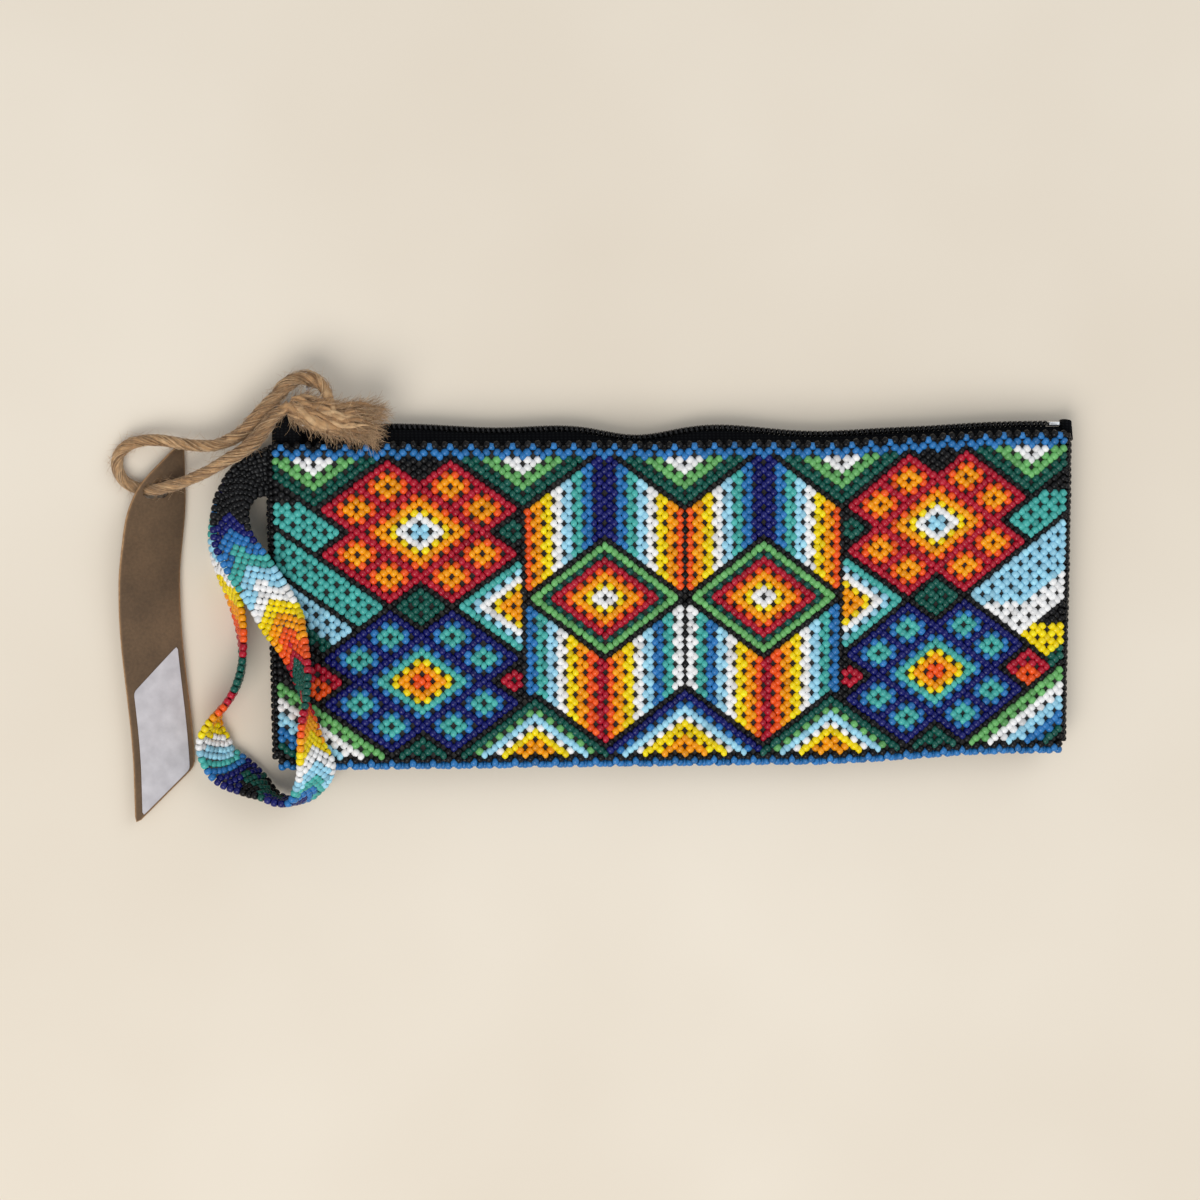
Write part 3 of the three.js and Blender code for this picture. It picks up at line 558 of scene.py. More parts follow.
def in_tuft(along, sideways, height):
    """A place in the tuft, from a distance along it, a way across and a height."""
    drift = TUFT_DRIFT * smoothstep(along, 9, 20)
    return KNOT_START + TUFT_AXIS * along + TUFT_SIDE * (sideways + drift) + TUFT_UP * height


def tuft_half_width(along):
    return np.interp(along, [-1.5, 1, 5, 10, 16, 21, 26], [2.2, 3.6, 3.7, 4.2, 4.9, 5.0, 4.2])


def lock(shape):
    """One wavy lock of the tuft, thick in its middle and fine at its ends."""
    angle = rng.uniform(0, 2 * math.pi)
    spread = math.sqrt(rng.uniform(0, 1))
    sideways, height = spread * math.cos(angle), spread * math.sin(angle)
    begin = rng.uniform(-1.5, 10)
    end = min(begin + rng.uniform(9, 15), TUFT_REACH * rng.uniform(0.78, 0.92))
    phase = rng.uniform(0, 2 * math.pi)
    cycles = rng.uniform(0.7, 1.6)
    path = []
    shares = np.linspace(0, 1, LOCK_POINTS)
    for share in shares:
        along = begin + (end - begin) * share
        wave = math.sin(2 * math.pi * cycles * share + phase)
        width = tuft_half_width(along)
        across = 0.88 * width * sideways + 0.55 * wave
        path.append(in_tuft(along, across, 0.5 * width * height + 0.25 * wave))
    radius = rng.uniform(0.42, 0.75) * np.interp(shares, [0, 0.15, 0.7, 1], [0.3, 1, 0.8, 0.15])
    shape.add(tube(path, radius, 6), rng.uniform(0.15, 0.8))


def make_knot():
    """The two ends of the twine over the slider, tied and drawn out to locks round one heart."""
    shape = Shape()
    heart = [in_tuft(along, 0, 0) for along in np.linspace(-0.5, 0.78 * TUFT_REACH, HEART_POINTS)]
    heart_radius = np.interp(np.linspace(0, 1, HEART_POINTS), [0, 0.15, 0.6, 1], [1.2, 2.1, 2.3, 0.8])
    shape.add(tube(heart, heart_radius, 10), 0.2)
    for leaving, places in ((TWINE_ROUTE[0], FIRST_END), (TWINE_ROUTE[-1], LAST_END)):
        strand = [leaving] + [in_tuft(*place) for place in places]
        plied(shape, curve_points(strand, np.linspace(0, 1, 40)), taper=14)
    for _ in range(LOCKS):
        lock(shape)
    return shape.piece("twine_knot_wraps", jute, "jute", ["twine_knot"])


def make_tuft():
    """The fine fibres combed out of the knot."""
    shape = Shape()
    for _ in range(TUFT_FIBRES):
        angle = rng.uniform(0, 2 * math.pi)
        spread = rng.uniform(0.55, 1.04)
        along = rng.uniform(-1.5, TUFT_REACH * 0.84)
        width = tuft_half_width(along)
        sideways, height = spread * math.cos(angle), spread * math.sin(angle)
        start = in_tuft(along, width * sideways, 0.56 * width * height)
        heading = TUFT_AXIS * rng.uniform(0.2, 1.3)
        heading = heading + TUFT_SIDE * (0.35 * sideways + rng.normal(0, 0.42))
        heading = heading + TUFT_UP * rng.normal(0, 0.25)
        fibre(shape, start, heading, rng.uniform(1.8, 5.4), rng.uniform(0.035, 0.09), 1.1, 5, TUFT_LOWEST)
    return shape.piece("twine_tuft", jute, "jute")


twine_path = curve_points(TWINE_ROUTE, np.linspace(0, 1, 331))
cord_shape = Shape()
plied(cord_shape, twine_path)
twine_cord = cord_shape.piece("twine_cord", jute, "jute", ["twine"])
twine_hairs = make_hairs(twine_path)
twine_knot = make_knot()
twine_tuft = make_tuft()

# Tag: a slanted leather strip with a hole, and a bare label glued on it; both are a little larger than
# their solids, and the strip lies flatter towards its far end
TAG_WIDTH = 16.0
TAG_EDGE = 85.6
TAG_SLANT = 15.0
TAG_SLOPE = TAG_SLANT / TAG_WIDTH
TAG_THICKNESS = 1.2
TAG_CORNER = 2.0
TAG_LONG_CORNER = 9.0
TAG_END_POINTS = 9
TAG_ROLL = math.radians(20)
TAG_UNROLL = math.radians(12)
TAG_TURN = math.radians(1)
TAG_PLACE = np.array((-126.9, 43.4, 0.3))
TAG_ARCH = 0.5
PLATE_SHARES = (0.3, 0.65)
HOLE_FROM_EDGE = 8.0
HOLE_FROM_TOP = 13.4
HOLE_LENGTH = 7.0
HOLE_WIDTH = 3.8
LABEL_INSET = 1.5
LABEL_WIDTH = 12.6
LABEL_FROM_TOP = 52.4
LABEL_FROM_END = 0.7
LABEL_THICKNESS = 0.22
LABEL_GAP = 0.02
LABEL_END_POINTS = 12


def on_tag(points):
    """From the tag's own flat frame to where it leans on the floor, bowed along its length."""
    x, y, z = points.T
    below = -y
    z = z + TAG_ARCH * np.sin(math.pi * np.clip((below - 18) / 81, 0, 1)) ** 2
    roll = TAG_ROLL - TAG_UNROLL * smoothstep(below, 22, 56)
    bow = -2.1 * smoothstep(below, 14, 38) + 2.7 * smoothstep(below, 42, 88)
    across = x * np.cos(roll) + z * np.sin(roll) + bow
    leaning = np.column_stack([across, y, z * np.cos(roll) - x * np.sin(roll)])
    cosine, sine = math.cos(TAG_TURN), math.sin(TAG_TURN)
    turn = np.array([[cosine, -sine, 0], [sine, cosine, 0], [0, 0, 1]])
    return leaning @ turn.T + TAG_PLACE


def slanted_outline(width, edge, radii, shift, spacing):
    """A round-cornered strip whose ends share one slant, as even points from its first end's middle."""
    slant = TAG_SLOPE * width
    corners = np.array([(0, 0), (-width, -slant), (-width, -slant - edge), (0, -edge)], float) + shift
    points = []
    for index, (corner, radius) in enumerate(zip(corners, radii)):
        before, after = corners[index - 1], corners[(index + 1) % 4]
        start = corner + (before - corner) / np.linalg.norm(before - corner) * radius
        end = corner + (after - corner) / np.linalg.norm(after - corner) * radius
        for share in np.linspace(0, 1, 7):
            points.append((1 - share) ** 2 * start + 2 * share * (1 - share) * corner + share ** 2 * end)
    outline = even_path(np.array(points + [points[0]]), spacing)[:-1]
    from_first_end = np.linalg.norm(outline - (corners[0] + corners[1]) / 2, axis=1)
    return np.roll(outline, -int(np.argmin(from_first_end)), 0)


def inset(outline, distance):
    """A closed anticlockwise outline moved inwards by a small distance."""
    along = unit(np.roll(outline, -1, 0) - np.roll(outline, 1, 0))
    return outline + distance * np.column_stack([-along[:, 1], along[:, 0]])


def shrunk(outline, share):
    """A slanted strip's outline, smaller by a share of its half width on every side."""
    level = np.column_stack([outline[:, 0], outline[:, 1] - TAG_SLOPE * outline[:, 0]])
    low, high = level.min(0), level.max(0)
    middle, half = (low + high) / 2, (high - low) / 2
    smaller = middle + (level - middle) * (1 - share * half[0] / half)
    return np.column_stack([smaller[:, 0], smaller[:, 1] + TAG_SLOPE * smaller[:, 0]])


def plate_on_tag(outline, low, high, bevel, edge_tone, end_points):
    """A plate with rounded edges in the tag's place, as a shape whose edges have a tone of their own."""
    # On the tag the edge tone is partly a painted highlight, and a little of it reaches the upper rim
    levels = [
        (bevel * 2.2, low, 0), (bevel, low, 0), (bevel * 0.3, low + bevel * 0.3, edge_tone),
        (0, low + bevel, edge_tone), (0, high - bevel, edge_tone),
        (bevel * 0.3, high - bevel * 0.3, edge_tone), (bevel, high, 0.15 * edge_tone),
        (bevel * 2.2, high, 0),
    ]
    under = [(at_height(shrunk(outline, share), low), 0) for share in PLATE_SHARES[::-1]]
    sides = [(at_height(inset(outline, distance), height), tone) for distance, height, tone in levels]
    over = [(at_height(shrunk(outline, share), high), 0) for share in PLATE_SHARES]
    rings, tones = zip(*under, *sides, *over)
    points, faces = ring_stack(rings, lambda loop: quads_across(loop, end_points))
    return Shape().add((on_tag(points), faces), np.repeat(np.array(tones, float), len(outline)))


def make_tag():
    radii = [TAG_CORNER, TAG_LONG_CORNER, TAG_CORNER, TAG_CORNER]
    outline = slanted_outline(TAG_WIDTH, TAG_EDGE, radii, (0, 0), 1.5)
    plate = plate_on_tag(outline, 0, TAG_THICKNESS, 0.3, 1.0, TAG_END_POINTS)
    tag = plate.piece("tag_strip", tag_leather, "tag_leather", ["tag"])
    angles = np.linspace(-math.pi / 2, math.pi / 2, 10)
    run = (HOLE_LENGTH - HOLE_WIDTH) / 2
    right = np.column_stack([run + HOLE_WIDTH / 2 * np.cos(angles), HOLE_WIDTH / 2 * np.sin(angles)])
    hole_outline = np.vstack([right, -right]) - (HOLE_FROM_EDGE, HOLE_FROM_TOP)
    points, faces = ring_stack([at_height(hole_outline, height) for height in (-2, 4)])
    cutter = Shape().add((on_tag(points), faces), 1.0).piece("hole_cutter", tag_leather)
    hole = tag.modifiers.new("hole", "BOOLEAN")
    hole.operation = "DIFFERENCE"
    hole.object = cutter
    hole.solver = "EXACT"
    bpy.context.view_layer.update()
    cut_mesh = bpy.data.meshes.new_from_object(tag.evaluated_get(bpy.context.evaluated_depsgraph_get()))
    tag.modifiers.clear()
    tag.data = cut_mesh
    bpy.data.objects.remove(cutter)
    for face in tag.data.polygons:
        face.use_smooth = len(face.vertices) == 4


def make_label():
    edge = TAG_EDGE - LABEL_FROM_TOP - LABEL_FROM_END
    shift = (-LABEL_INSET, -LABEL_FROM_TOP - TAG_SLOPE * LABEL_INSET)
    outline = slanted_outline(LABEL_WIDTH, edge, [TAG_CORNER / 2] * 4, shift, 0.8)
    low = TAG_THICKNESS + LABEL_GAP
    plate = plate_on_tag(outline, low, low + LABEL_THICKNESS, 0.06, 0.5, LABEL_END_POINTS)
    plate.piece("tag_blank_label", label_paper, "label_paper", ["tag_label"])


make_tag()
make_label()

# Beads: rounded rings, laid in a net of node beads and slanted link beads
BEAD_RADIUS = 1.1
BEAD_HALF_LENGTH = 0.9
BEAD_SIDES = 10
BEAD_PROFILE = [(-1, 0.4), (-0.83, 0.85), (0, 1.03), (0.83, 0.85), (1, 0.4)]
BEADS_WITHOUT_SLOT = ("white", "red_orange")


def bead_template():
    """One bead of unit radius and unit half length, with its hole along X."""
    angles = np.arange(BEAD_SIDES) * 2 * math.pi / BEAD_SIDES
    points = np.array([(x, r * math.cos(a), r * math.sin(a)) for x, r in BEAD_PROFILE for a in angles])
    ring, side = np.divmod(np.arange(len(points)), BEAD_SIDES)
    here = ring * BEAD_SIDES
    following = (ring + 1) % len(BEAD_PROFILE) * BEAD_SIDES
    beside = (side + 1) % BEAD_SIDES
    return points, np.stack([following + side, following + beside, here + beside, here + side], axis=1)


BEAD_POINTS, BEAD_QUADS = bead_template()


class BeadWork:
    """Beads gathered by colour: a middle, a thread direction, an outward direction and a size each."""

    def __init__(self, unevenness):
        self.by_colour = {}
        self.unevenness = unevenness

    def add(self, letter, middle, thread, outward, size):
        self.by_colour.setdefault(letter, []).append((middle, thread, outward, size))

    def pieces(self, prefix, replaces):
        x, y, z = BEAD_POINTS.T
        for letter, rows in sorted(self.by_colour.items()):
            name = BEAD_COLOURS[letter][0]
            middles, threads, outwards, sizes = (np.array(column, float) for column in zip(*rows))
            count = len(middles)
            threads = unit(unit(threads) + rng.normal(0, 0.07 * self.unevenness, threads.shape))
            sideways = unit(np.cross(outwards, threads))
            ups = np.cross(threads, sideways)
            radii = (sizes * rng.normal(1, 0.025, count) * BEAD_RADIUS)[:, None]
            longs = (sizes * rng.normal(1, 0.05, count) * BEAD_HALF_LENGTH)[:, None]
            spun = rng.uniform(0, 2 * math.pi, count)[:, None]
            turned_y = y * np.cos(spun) - z * np.sin(spun)
            turned_z = y * np.sin(spun) + z * np.cos(spun)
            points = (
                middles[:, None]
                + threads[:, None] * (x * longs)[..., None]
                + sideways[:, None] * (turned_y * radii)[..., None]
                + ups[:, None] * (turned_z * radii)[..., None]
            ).reshape(-1, 3)
            quads = BEAD_QUADS[None] + (np.arange(count) * len(BEAD_POINTS))[:, None, None]
            tones = np.repeat(np.clip(rng.normal(0.5, 0.2, count), 0, 1), len(BEAD_POINTS))
            slot = None if name in BEADS_WITHOUT_SLOT else f"beads_{name}"
            shape = Shape().add((points, quads.reshape(-1, 4).tolist()), tones)
            shape.piece(f"{prefix}_{name}", beads[letter], slot, replaces.get(letter, ()))


def with_ends(ends, *names):
    return [f"{name}_{end}" for name in names for end in ends]


# The pattern of the front, in columns from the middle and rows down from the top border: each list has
# the last step of each colour, and a bottom triangle has its column and its first step before that
BORDER_ROWS = (0, 82)
BLACK_ROWS = (-3, 81)
BLOCK_EDGE = 32
TRIANGLE_COLUMNS = (-72, -32, 0, 32, 72)
TRIANGLE = [(4, "W"), (8, "G"), (12, "D"), (14, "K")]
EYE_COLUMN = 16
EYE_ROW = 38
EYE = [(2, "W"), (4, "Y"), (6, "O"), (8, "V"), (10, "R"), (12, "D"), (14, "G"), (16, "K")]
UPPER_STRIPES = [
    (2, "N"), (4, "B"), (6, "T"), (8, "L"), (10, "W"), (12, "Y"), (14, "O"), (15, "V"), (16, "K"),
]
LOWER_STRIPES = [
    (0, "K"), (2, "W"), (4, "T"), (6, "B"), (8, "L"), (10, "W"), (12, "Y"), (14, "O"), (15, "V"), (17, "R"),
    (19, "V"), (21, "O"), (23, "Y"), (25, "W"), (27, "L"), (29, "T"), (31, "B"), (32, "K"),
]
BOTTOM_MIDDLE_EDGE = 15
BOTTOM_MIDDLE = (0, 62, [(62, "K"), (64, "N"), (66, "B"), (68, "L"), (70, "W"), (75, "Y"), (99, "O")])
BOTTOM_SIDE = (30, 64, [(64, "K"), (66, "D"), (68, "G"), (70, "L"), (72, "W"), (74, "Y"), (99, "O")])
SIDE_TRIANGLE_ROW = 40
SIDE_TRIANGLE = [(36, "O"), (38, "Y"), (40, "W"), (42, "L"), (44, "T"), (46, "K")]
SPOTS = [(34, 20, 2, "D"), (34, 60, 2, "R"), (52, 40, 4, "D"), (52, 80, 4, "D")]
FLOWER_COLUMN = 52
FLOWER_REACH = 24
FLOWER_ARM = 12
FLOWERS = [
    (20, "R", [(2, "L"), (4, "W"), (6, "Y"), (8, "O"), (10, "V"), (12, "R")], [(2, "O"), (4, "V")]),
    (60, "N", [(2, "V"), (4, "O"), (6, "Y"), (8, "T"), (10, "B"), (12, "N")], [(2, "T"), (4, "B")]),
]
SMALL_FLOWERS = [(6, 12), (12, 6), (12, -6), (6, -12), (-6, -12), (-12, -6), (-12, 6), (-6, 12)]

# Beyond the flowers: a spot, and bands with their lowest and highest sum of column and row, their first
# and last row and their colour
OUTER_SPOT_COLUMN = 72
OUTER_SPOT_ROW = 60
SPOT_HEART_ROW = 62
LEFT_BANDS = [(100, 108, 0, 99, "T"), (112, 118, 0, 99, "L"), (120, 122, 0, 99, "D")]
RIGHT_BANDS = [(100, 112, 0, 42, "L"), (100, 120, 0, 99, "W"), (122, 132, 49, 99, "Y")]
CORNER_START = 138
CORNER = [(138, "K"), (142, "G"), (146, "W"), (150, "L"), (154, "B"), (156, "D"), (999, "K")]


def from_steps(value, steps):
    """The letter of the first step that the value doesn't pass."""
    for limit, letter in steps:
        if value <= limit:
            return letter
    return None


def bottom_letter(away, row, triangle):
    column, start, steps = triangle
    down = row - abs(away - column)
    return from_steps(down, steps) if down >= start else None


def flower_letter(away, row):
    for middle_row, ring, heart, small in FLOWERS:
        across, down = away - FLOWER_COLUMN, row - middle_row
        rising, falling = abs(across + down), abs(across - down)
        if max(rising, falling) > FLOWER_REACH or min(rising, falling) > FLOWER_ARM:
            continue
        for right, low, steps in [(0, 0, heart)] + [(*place, small) for place in SMALL_FLOWERS]:
            letter = from_steps(abs(across - right) + abs(down - low), steps)
            if letter:
                return letter
        return ring
    return None


def middle_letter(away, row):
    """Inside the middle block: eyes, bottom triangles and stripes."""
    from_eye = abs(away - EYE_COLUMN)
    return (
        from_steps(from_eye + abs(row - EYE_ROW), EYE)
        or (away <= BOTTOM_MIDDLE_EDGE and bottom_letter(away, row, BOTTOM_MIDDLE))
        or bottom_letter(away, row, BOTTOM_SIDE)
        or (from_steps(from_eye, UPPER_STRIPES) if row <= EYE_ROW else from_steps(away, LOWER_STRIPES))
    )


def outer_letter(column, row):
    """Beyond the flowers, where the two sides differ."""
    away = abs(column)
    rising, falling = away + row, away - row
    from_spot = abs(away - OUTER_SPOT_COLUMN)
    if 88 <= rising <= 96 and falling >= 48 and row >= 13:
        return "T"
    if from_spot + abs(row - OUTER_SPOT_ROW) <= 4:
        return "V" if from_spot + abs(row - SPOT_HEART_ROW) <= 2 else "R"
    if falling >= 20:
        for low, high, first, last, letter in RIGHT_BANDS if column > 0 else LEFT_BANDS:
            if low <= rising <= high and first <= row <= last:
                return letter
    if column >= 77 and 134 <= rising <= 137:
        return "D"
    if rising >= CORNER_START and row > 40:
        return from_steps(rising, CORNER)
    return "K"


def front_letter(column, row):
    away = abs(column)
    if row <= BLACK_ROWS[0] or row == BLACK_ROWS[1]:
        return "K"
    if row <= BORDER_ROWS[0] or row >= BORDER_ROWS[1]:
        return "B"
    for middle in TRIANGLE_COLUMNS:
        letter = from_steps(abs(column - middle) + row, TRIANGLE)
        if letter:
            return letter
    if away <= BLOCK_EDGE:
        return middle_letter(away, row)
    for spot_column, spot_row, reach, letter in SPOTS:
        if abs(away - spot_column) + abs(row - spot_row) <= reach:
            return letter
    return (
        flower_letter(away, row)
        or bottom_letter(away, row, BOTTOM_SIDE)
        or from_steps(away + abs(row - SIDE_TRIANGLE_ROW), SIDE_TRIANGLE)
        or outer_letter(column, row)
    )


# The bag's soft shape: a low crown, edges that sink in places with a depth, a middle and a width each,
# and a right end that is bent up towards the zip
CROWN = 0.75
SIDE_DROP = 0.75
EDGE_DIPS = [(0.35, -4.5, 9.0), (0.25, 40, 10.0)]
ZIP_DIPS = [(1.2, -45, 16.0), (3.2, -9, 13.0), (2.4, 38, 20.0), (0.9, 66, 16.0)]
END_RISE = 2.3
BEND_RADIUS = 1.3
BEND_START = 1.0
NARROWING = 0.008


def front_lift(x, y):
    crown = CROWN * (1 - (x / HALF_LENGTH) ** 2) * (1 - (y / HALF_HEIGHT) ** 2)
    wave = 0.22 * np.sin(x / 17.0 + 0.6) * np.cos(y / 21.0) + 0.14 * np.sin(x / 7.3 + y / 9.1)
    side = smoothstep(np.abs(x), HALF_LENGTH - 4, HALF_LENGTH + 0.5)
    return crown + wave * (1 - side) - SIDE_DROP * side


def sunk(x, dips):
    return -sum(depth * np.exp(-((x - middle) / width) ** 2) for depth, middle, width in dips)


def end_rise(x):
    return END_RISE * smoothstep(x, 36, 92)


def front_place(column, row):
    """Where a bead of the front sits, and which way is outwards and down the front there."""
    share = 2 * column / BEAD_COLUMNS
    x = (column + NET_DRIFT * (1 - share * share)) * BEAD_COLUMN
    down = (row + ROWS_ABOVE_ZERO) * BEAD_ROW
    y = HALF_HEIGHT - down
    narrowing = 1 - NARROWING * smoothstep(-y, -HALF_HEIGHT, HALF_HEIGHT)
    height = FRONT_TOP + BEAD_RADIUS
    angle = 0.0
    past = down - (2 * HALF_HEIGHT - BEND_START)
    if past > 0:
        angle = past / BEND_RADIUS
        y = -HALF_HEIGHT + BEND_START - BEND_RADIUS * math.sin(angle)
        height -= BEND_RADIUS * (1 - math.cos(angle))
    y_moved = y + sunk(x, EDGE_DIPS) * smoothstep(y, 18, HALF_HEIGHT) + end_rise(x)
    height += float(front_lift(x, max(y, -HALF_HEIGHT + BEND_START)))
    outward = np.array((0.0, -math.sin(angle), math.cos(angle)))
    downward = np.array((0.0, -math.cos(angle), -math.sin(angle)))
    return np.array((x * narrowing, y_moved, height)), outward, downward


def net(columns, rows, filled=False):
    """Columns and rows of the beads of a net, with the way that the thread runs through each.

    A filled net also has a bead in each hole, with the thread along the column.
    """
    for row in rows:
        for column in columns:
            if row % 2 and column % 2:
                falling = ((column + row) // 2) % 2 == 1
                yield column, row, (1, 1 if falling else -1)
            elif row % 2 == 0 and column % 2 == 0 and ((column + row) // 2) % 2 == 0:
                yield column, row, (1, 0)
            elif filled and row % 2 == 0 and column % 2 == 0:
                yield column, row, (0, 1)


PICOT_ROW = -2
SIDE_ROWS = np.arange(-2.5, 80.5, 1.7)
SIDE_BEADS = [(-0.1, 0.4, 0), (0.45, 1.7, 0.85)]
FRONT_JITTER = 0.05
SIDE_JITTER = 0.06


def make_front_beads():
    """The net of the front, and two rows of black beads down each side."""
    work = BeadWork(1.0)
    for column, row, (along, down) in net(range(-79, 80), range(-3, 85)):
        picot = row == PICOT_ROW
        middle, outward, downward = front_place(column, row - 0.5 if picot else row)
        middle = middle + rng.normal(0, FRONT_JITTER, 3)
        thread = np.array((along * BEAD_COLUMN, 0, 0)) + downward * down * BEAD_ROW
        size = 1.0 if down == 0 else 0.97
        work.add(front_letter(column, row), middle, downward if picot else thread, outward, size)
    for side in (-1, 1):
        for row in SIDE_ROWS:
            for out, drop, later in SIDE_BEADS:
                middle, outward, downward = front_place(BEAD_COLUMNS / 2 * side, row + later)
                middle = middle + (out * side, 0, -drop) + rng.normal(0, SIDE_JITTER, 3)
                work.add("K", middle, downward, outward + (side * (0.6 + out), 0, 0), 0.86)
    sides = ("left", "right")
    work.pieces("front_beads", {
        "K": ["bead_ground"],
        "B": [
            "border_top", "border_bottom", "bottom_triangle_middle",
            *with_ends(sides, "stripes_above_eye"),
        ],
        "G": with_ends(range(1, 6), "top_triangle") + with_ends(sides, "eye_ring"),
        "Y": with_ends(sides, "bottom_triangle"),
        "O": with_ends(sides, "eye_core", "stripes_below_eye", "red_flower_heart"),
        "R": with_ends(sides, "red_flower"),
        "N": with_ends(sides, "blue_flower"),
        "T": [*with_ends(sides, "blue_flower_heart"), "side_band_left"],
        "L": ["side_band_right"],
    })


# Strap: the same net as a band, close to the rails that the solids follow. Each station has the middle's
# way from the bag's side in millimetres, its way up the side as a share of the half height, its height as
# a share of that on the bag, the direction across the band and the band's lean in degrees
STRAP_STATIONS = [
    (-0.5, 0.834, 0.61, 90, 0), (-6, 0.79, 0.7, 113, 8), (-9.8, 0.655, 0.85, 149, 12),
    (-9.9, 0.436, 1.06, 193, 0), (-6, 0.265, 1.15, 208, 0), (-1.4, 0.096, 1.15, 212, 0),
    (1.8, -0.043, 1.1, 211, 0), (4.8, -0.195, 1, 209, 40), (7.2, -0.361, 1, 208, 62),
    (8.3, -0.537, 1, 200, 82), (9, -0.684, 1, 5, 76), (9.8, -0.843, 1, 10, 60),
    (11.1, -1, 1, 9, 36), (9.1, -1.142, 0.48, -2, 49), (5.3, -1.229, 0.13, -13, 73),
    (0.7, -1.212, 0.02, 45, 85), (-3.4, -1.133, 0, 84, 64), (-8.5, -1.063, 0, 85, 38),
    (-13, -1.005, 0, 65, 34), (-15.2, -0.911, 0, 43, 37), (-16.6, -0.8, 0, 39, 52),
    (-15.5, -0.704, 0, 39, 72), (-11.8, -0.6, 0, 34, 86), (-8.7, -0.443, 0, 0, 89),
    (-7.8, -0.253, 0, 194, 85), (-8.6, -0.077, 0, 174, 77), (-10.1, 0.07, 0, 166, 69),
    (-12, 0.217, 0.02, 158, 59), (-12.8, 0.395, 0.05, 158, 47), (-10.6, 0.598, 0.1, 152, 24),
    (-7, 0.771, 0.22, 127, 10), (-0.5, 0.853, 0.29, 90, 4),
]
STRAP_POINTS = 1241
STRAP_ON_BAG = FIELD_TOP + STRAP_THICKNESS / 2 + 0.3

# The strap's colours from either end to its middle, with the distances from the front end and from
# the back end at which each stops, along the band's edge
STRAP_COLOURS = [
    ("K", 21, 14), ("N", 26, 18), ("B", 31, 23), ("T", 36, 27), ("L", 41.5, 32), ("W", 46.5, 36),
    ("Y", 51.5, 41), ("O", 56, 46), ("V", 60.5, 51), ("R", 64, 54), ("D", 72, 62.7), ("R", 75.2, 66.7),
    ("V", 78.8, 69.3), ("O", 82.2, 72), ("Y", 86, 75), ("W", 91, 77.7), ("L", 96, 80.5), ("T", 100, 83),
    ("B", 103.5, 85),
]
STRAP_MIDDLE = 112.0
STRAP_MIDDLE_REACH = 6
STRAP_COLUMN = 1.25
STRAP_ROWS_LENGTH = 4.2
STRAP_EDGE = 5.1
STRAP_EDGE_BEAD = 1.86
STRAP_JITTER = 0.025
CORE_SECTION = np.array([(-4.3, 0), (-4, 0.3), (4, 0.3), (4.3, 0), (4, -0.3), (-4, -0.3)])


def strap_frames():
    """The strap's middle line, its length, and the ways along, across and outwards at each point.

    The way across is shorter near the two roots, where the band is gathered.
    """
    upper, lower = [], []
    for from_side, along, lift, toward, lean in STRAP_STATIONS:
        low = STRAP_FLOOR + (STRAP_ON_BAG - STRAP_FLOOR) * lift
        flat = STRAP_WIDTH * math.cos(math.radians(lean)) / 2
        across = np.array((flat * math.cos(math.radians(toward)), flat * math.sin(math.radians(toward)), 0))
        middle = np.array((from_side - HALF_LENGTH, along * HALF_HEIGHT, low))
        lower.append(middle + across)
        upper.append(middle - across + (0, 0, STRAP_WIDTH * math.sin(math.radians(lean))))
    upper, lower = (curve_points(rail, np.linspace(0, 1, STRAP_POINTS)) for rail in (upper, lower))
    centre = (upper + lower) / 2
    tangents = unit(np.gradient(centre, axis=0))
    across = unit(lower - upper)
    outward = unit(np.cross(tangents, across))
    along = lengths_along(centre)
    from_root = np.minimum(along, along[-1] - along)
    gathered = np.interp(from_root, [0, 5, 12, 20, 30], [1.0, 0.9, 0.78, 0.84, 1.0])
    return centre, along, tangents, across * gathered[:, None], outward


def strap_letter(along, across, length):
    """The colour at a distance along the strap.

    In the front half the middle of the band is ahead of its edges, in the back half the rows run askew.
    """
    ahead = STRAP_WIDTH / 2 - abs(across)
    from_back = length - along
    askew = np.interp(from_back, [48, 86], [0.3, -0.67]) * (across + STRAP_WIDTH / 2)
    past_middle = along - STRAP_MIDDLE
    if abs(past_middle) < STRAP_MIDDLE_REACH:
        slant = math.copysign(across, across * past_middle)
        if abs(past_middle) < 1.2 or abs(slant) < 1.6:
            return "D"
        return "N" if slant > 0 else "K"
    for letter, front_stop, back_stop in STRAP_COLOURS:
        if past_middle <= 0 and along + ahead <= front_stop:
            return letter
        if past_middle > 0 and from_back + askew <= back_stop:
            return letter
    return "N"


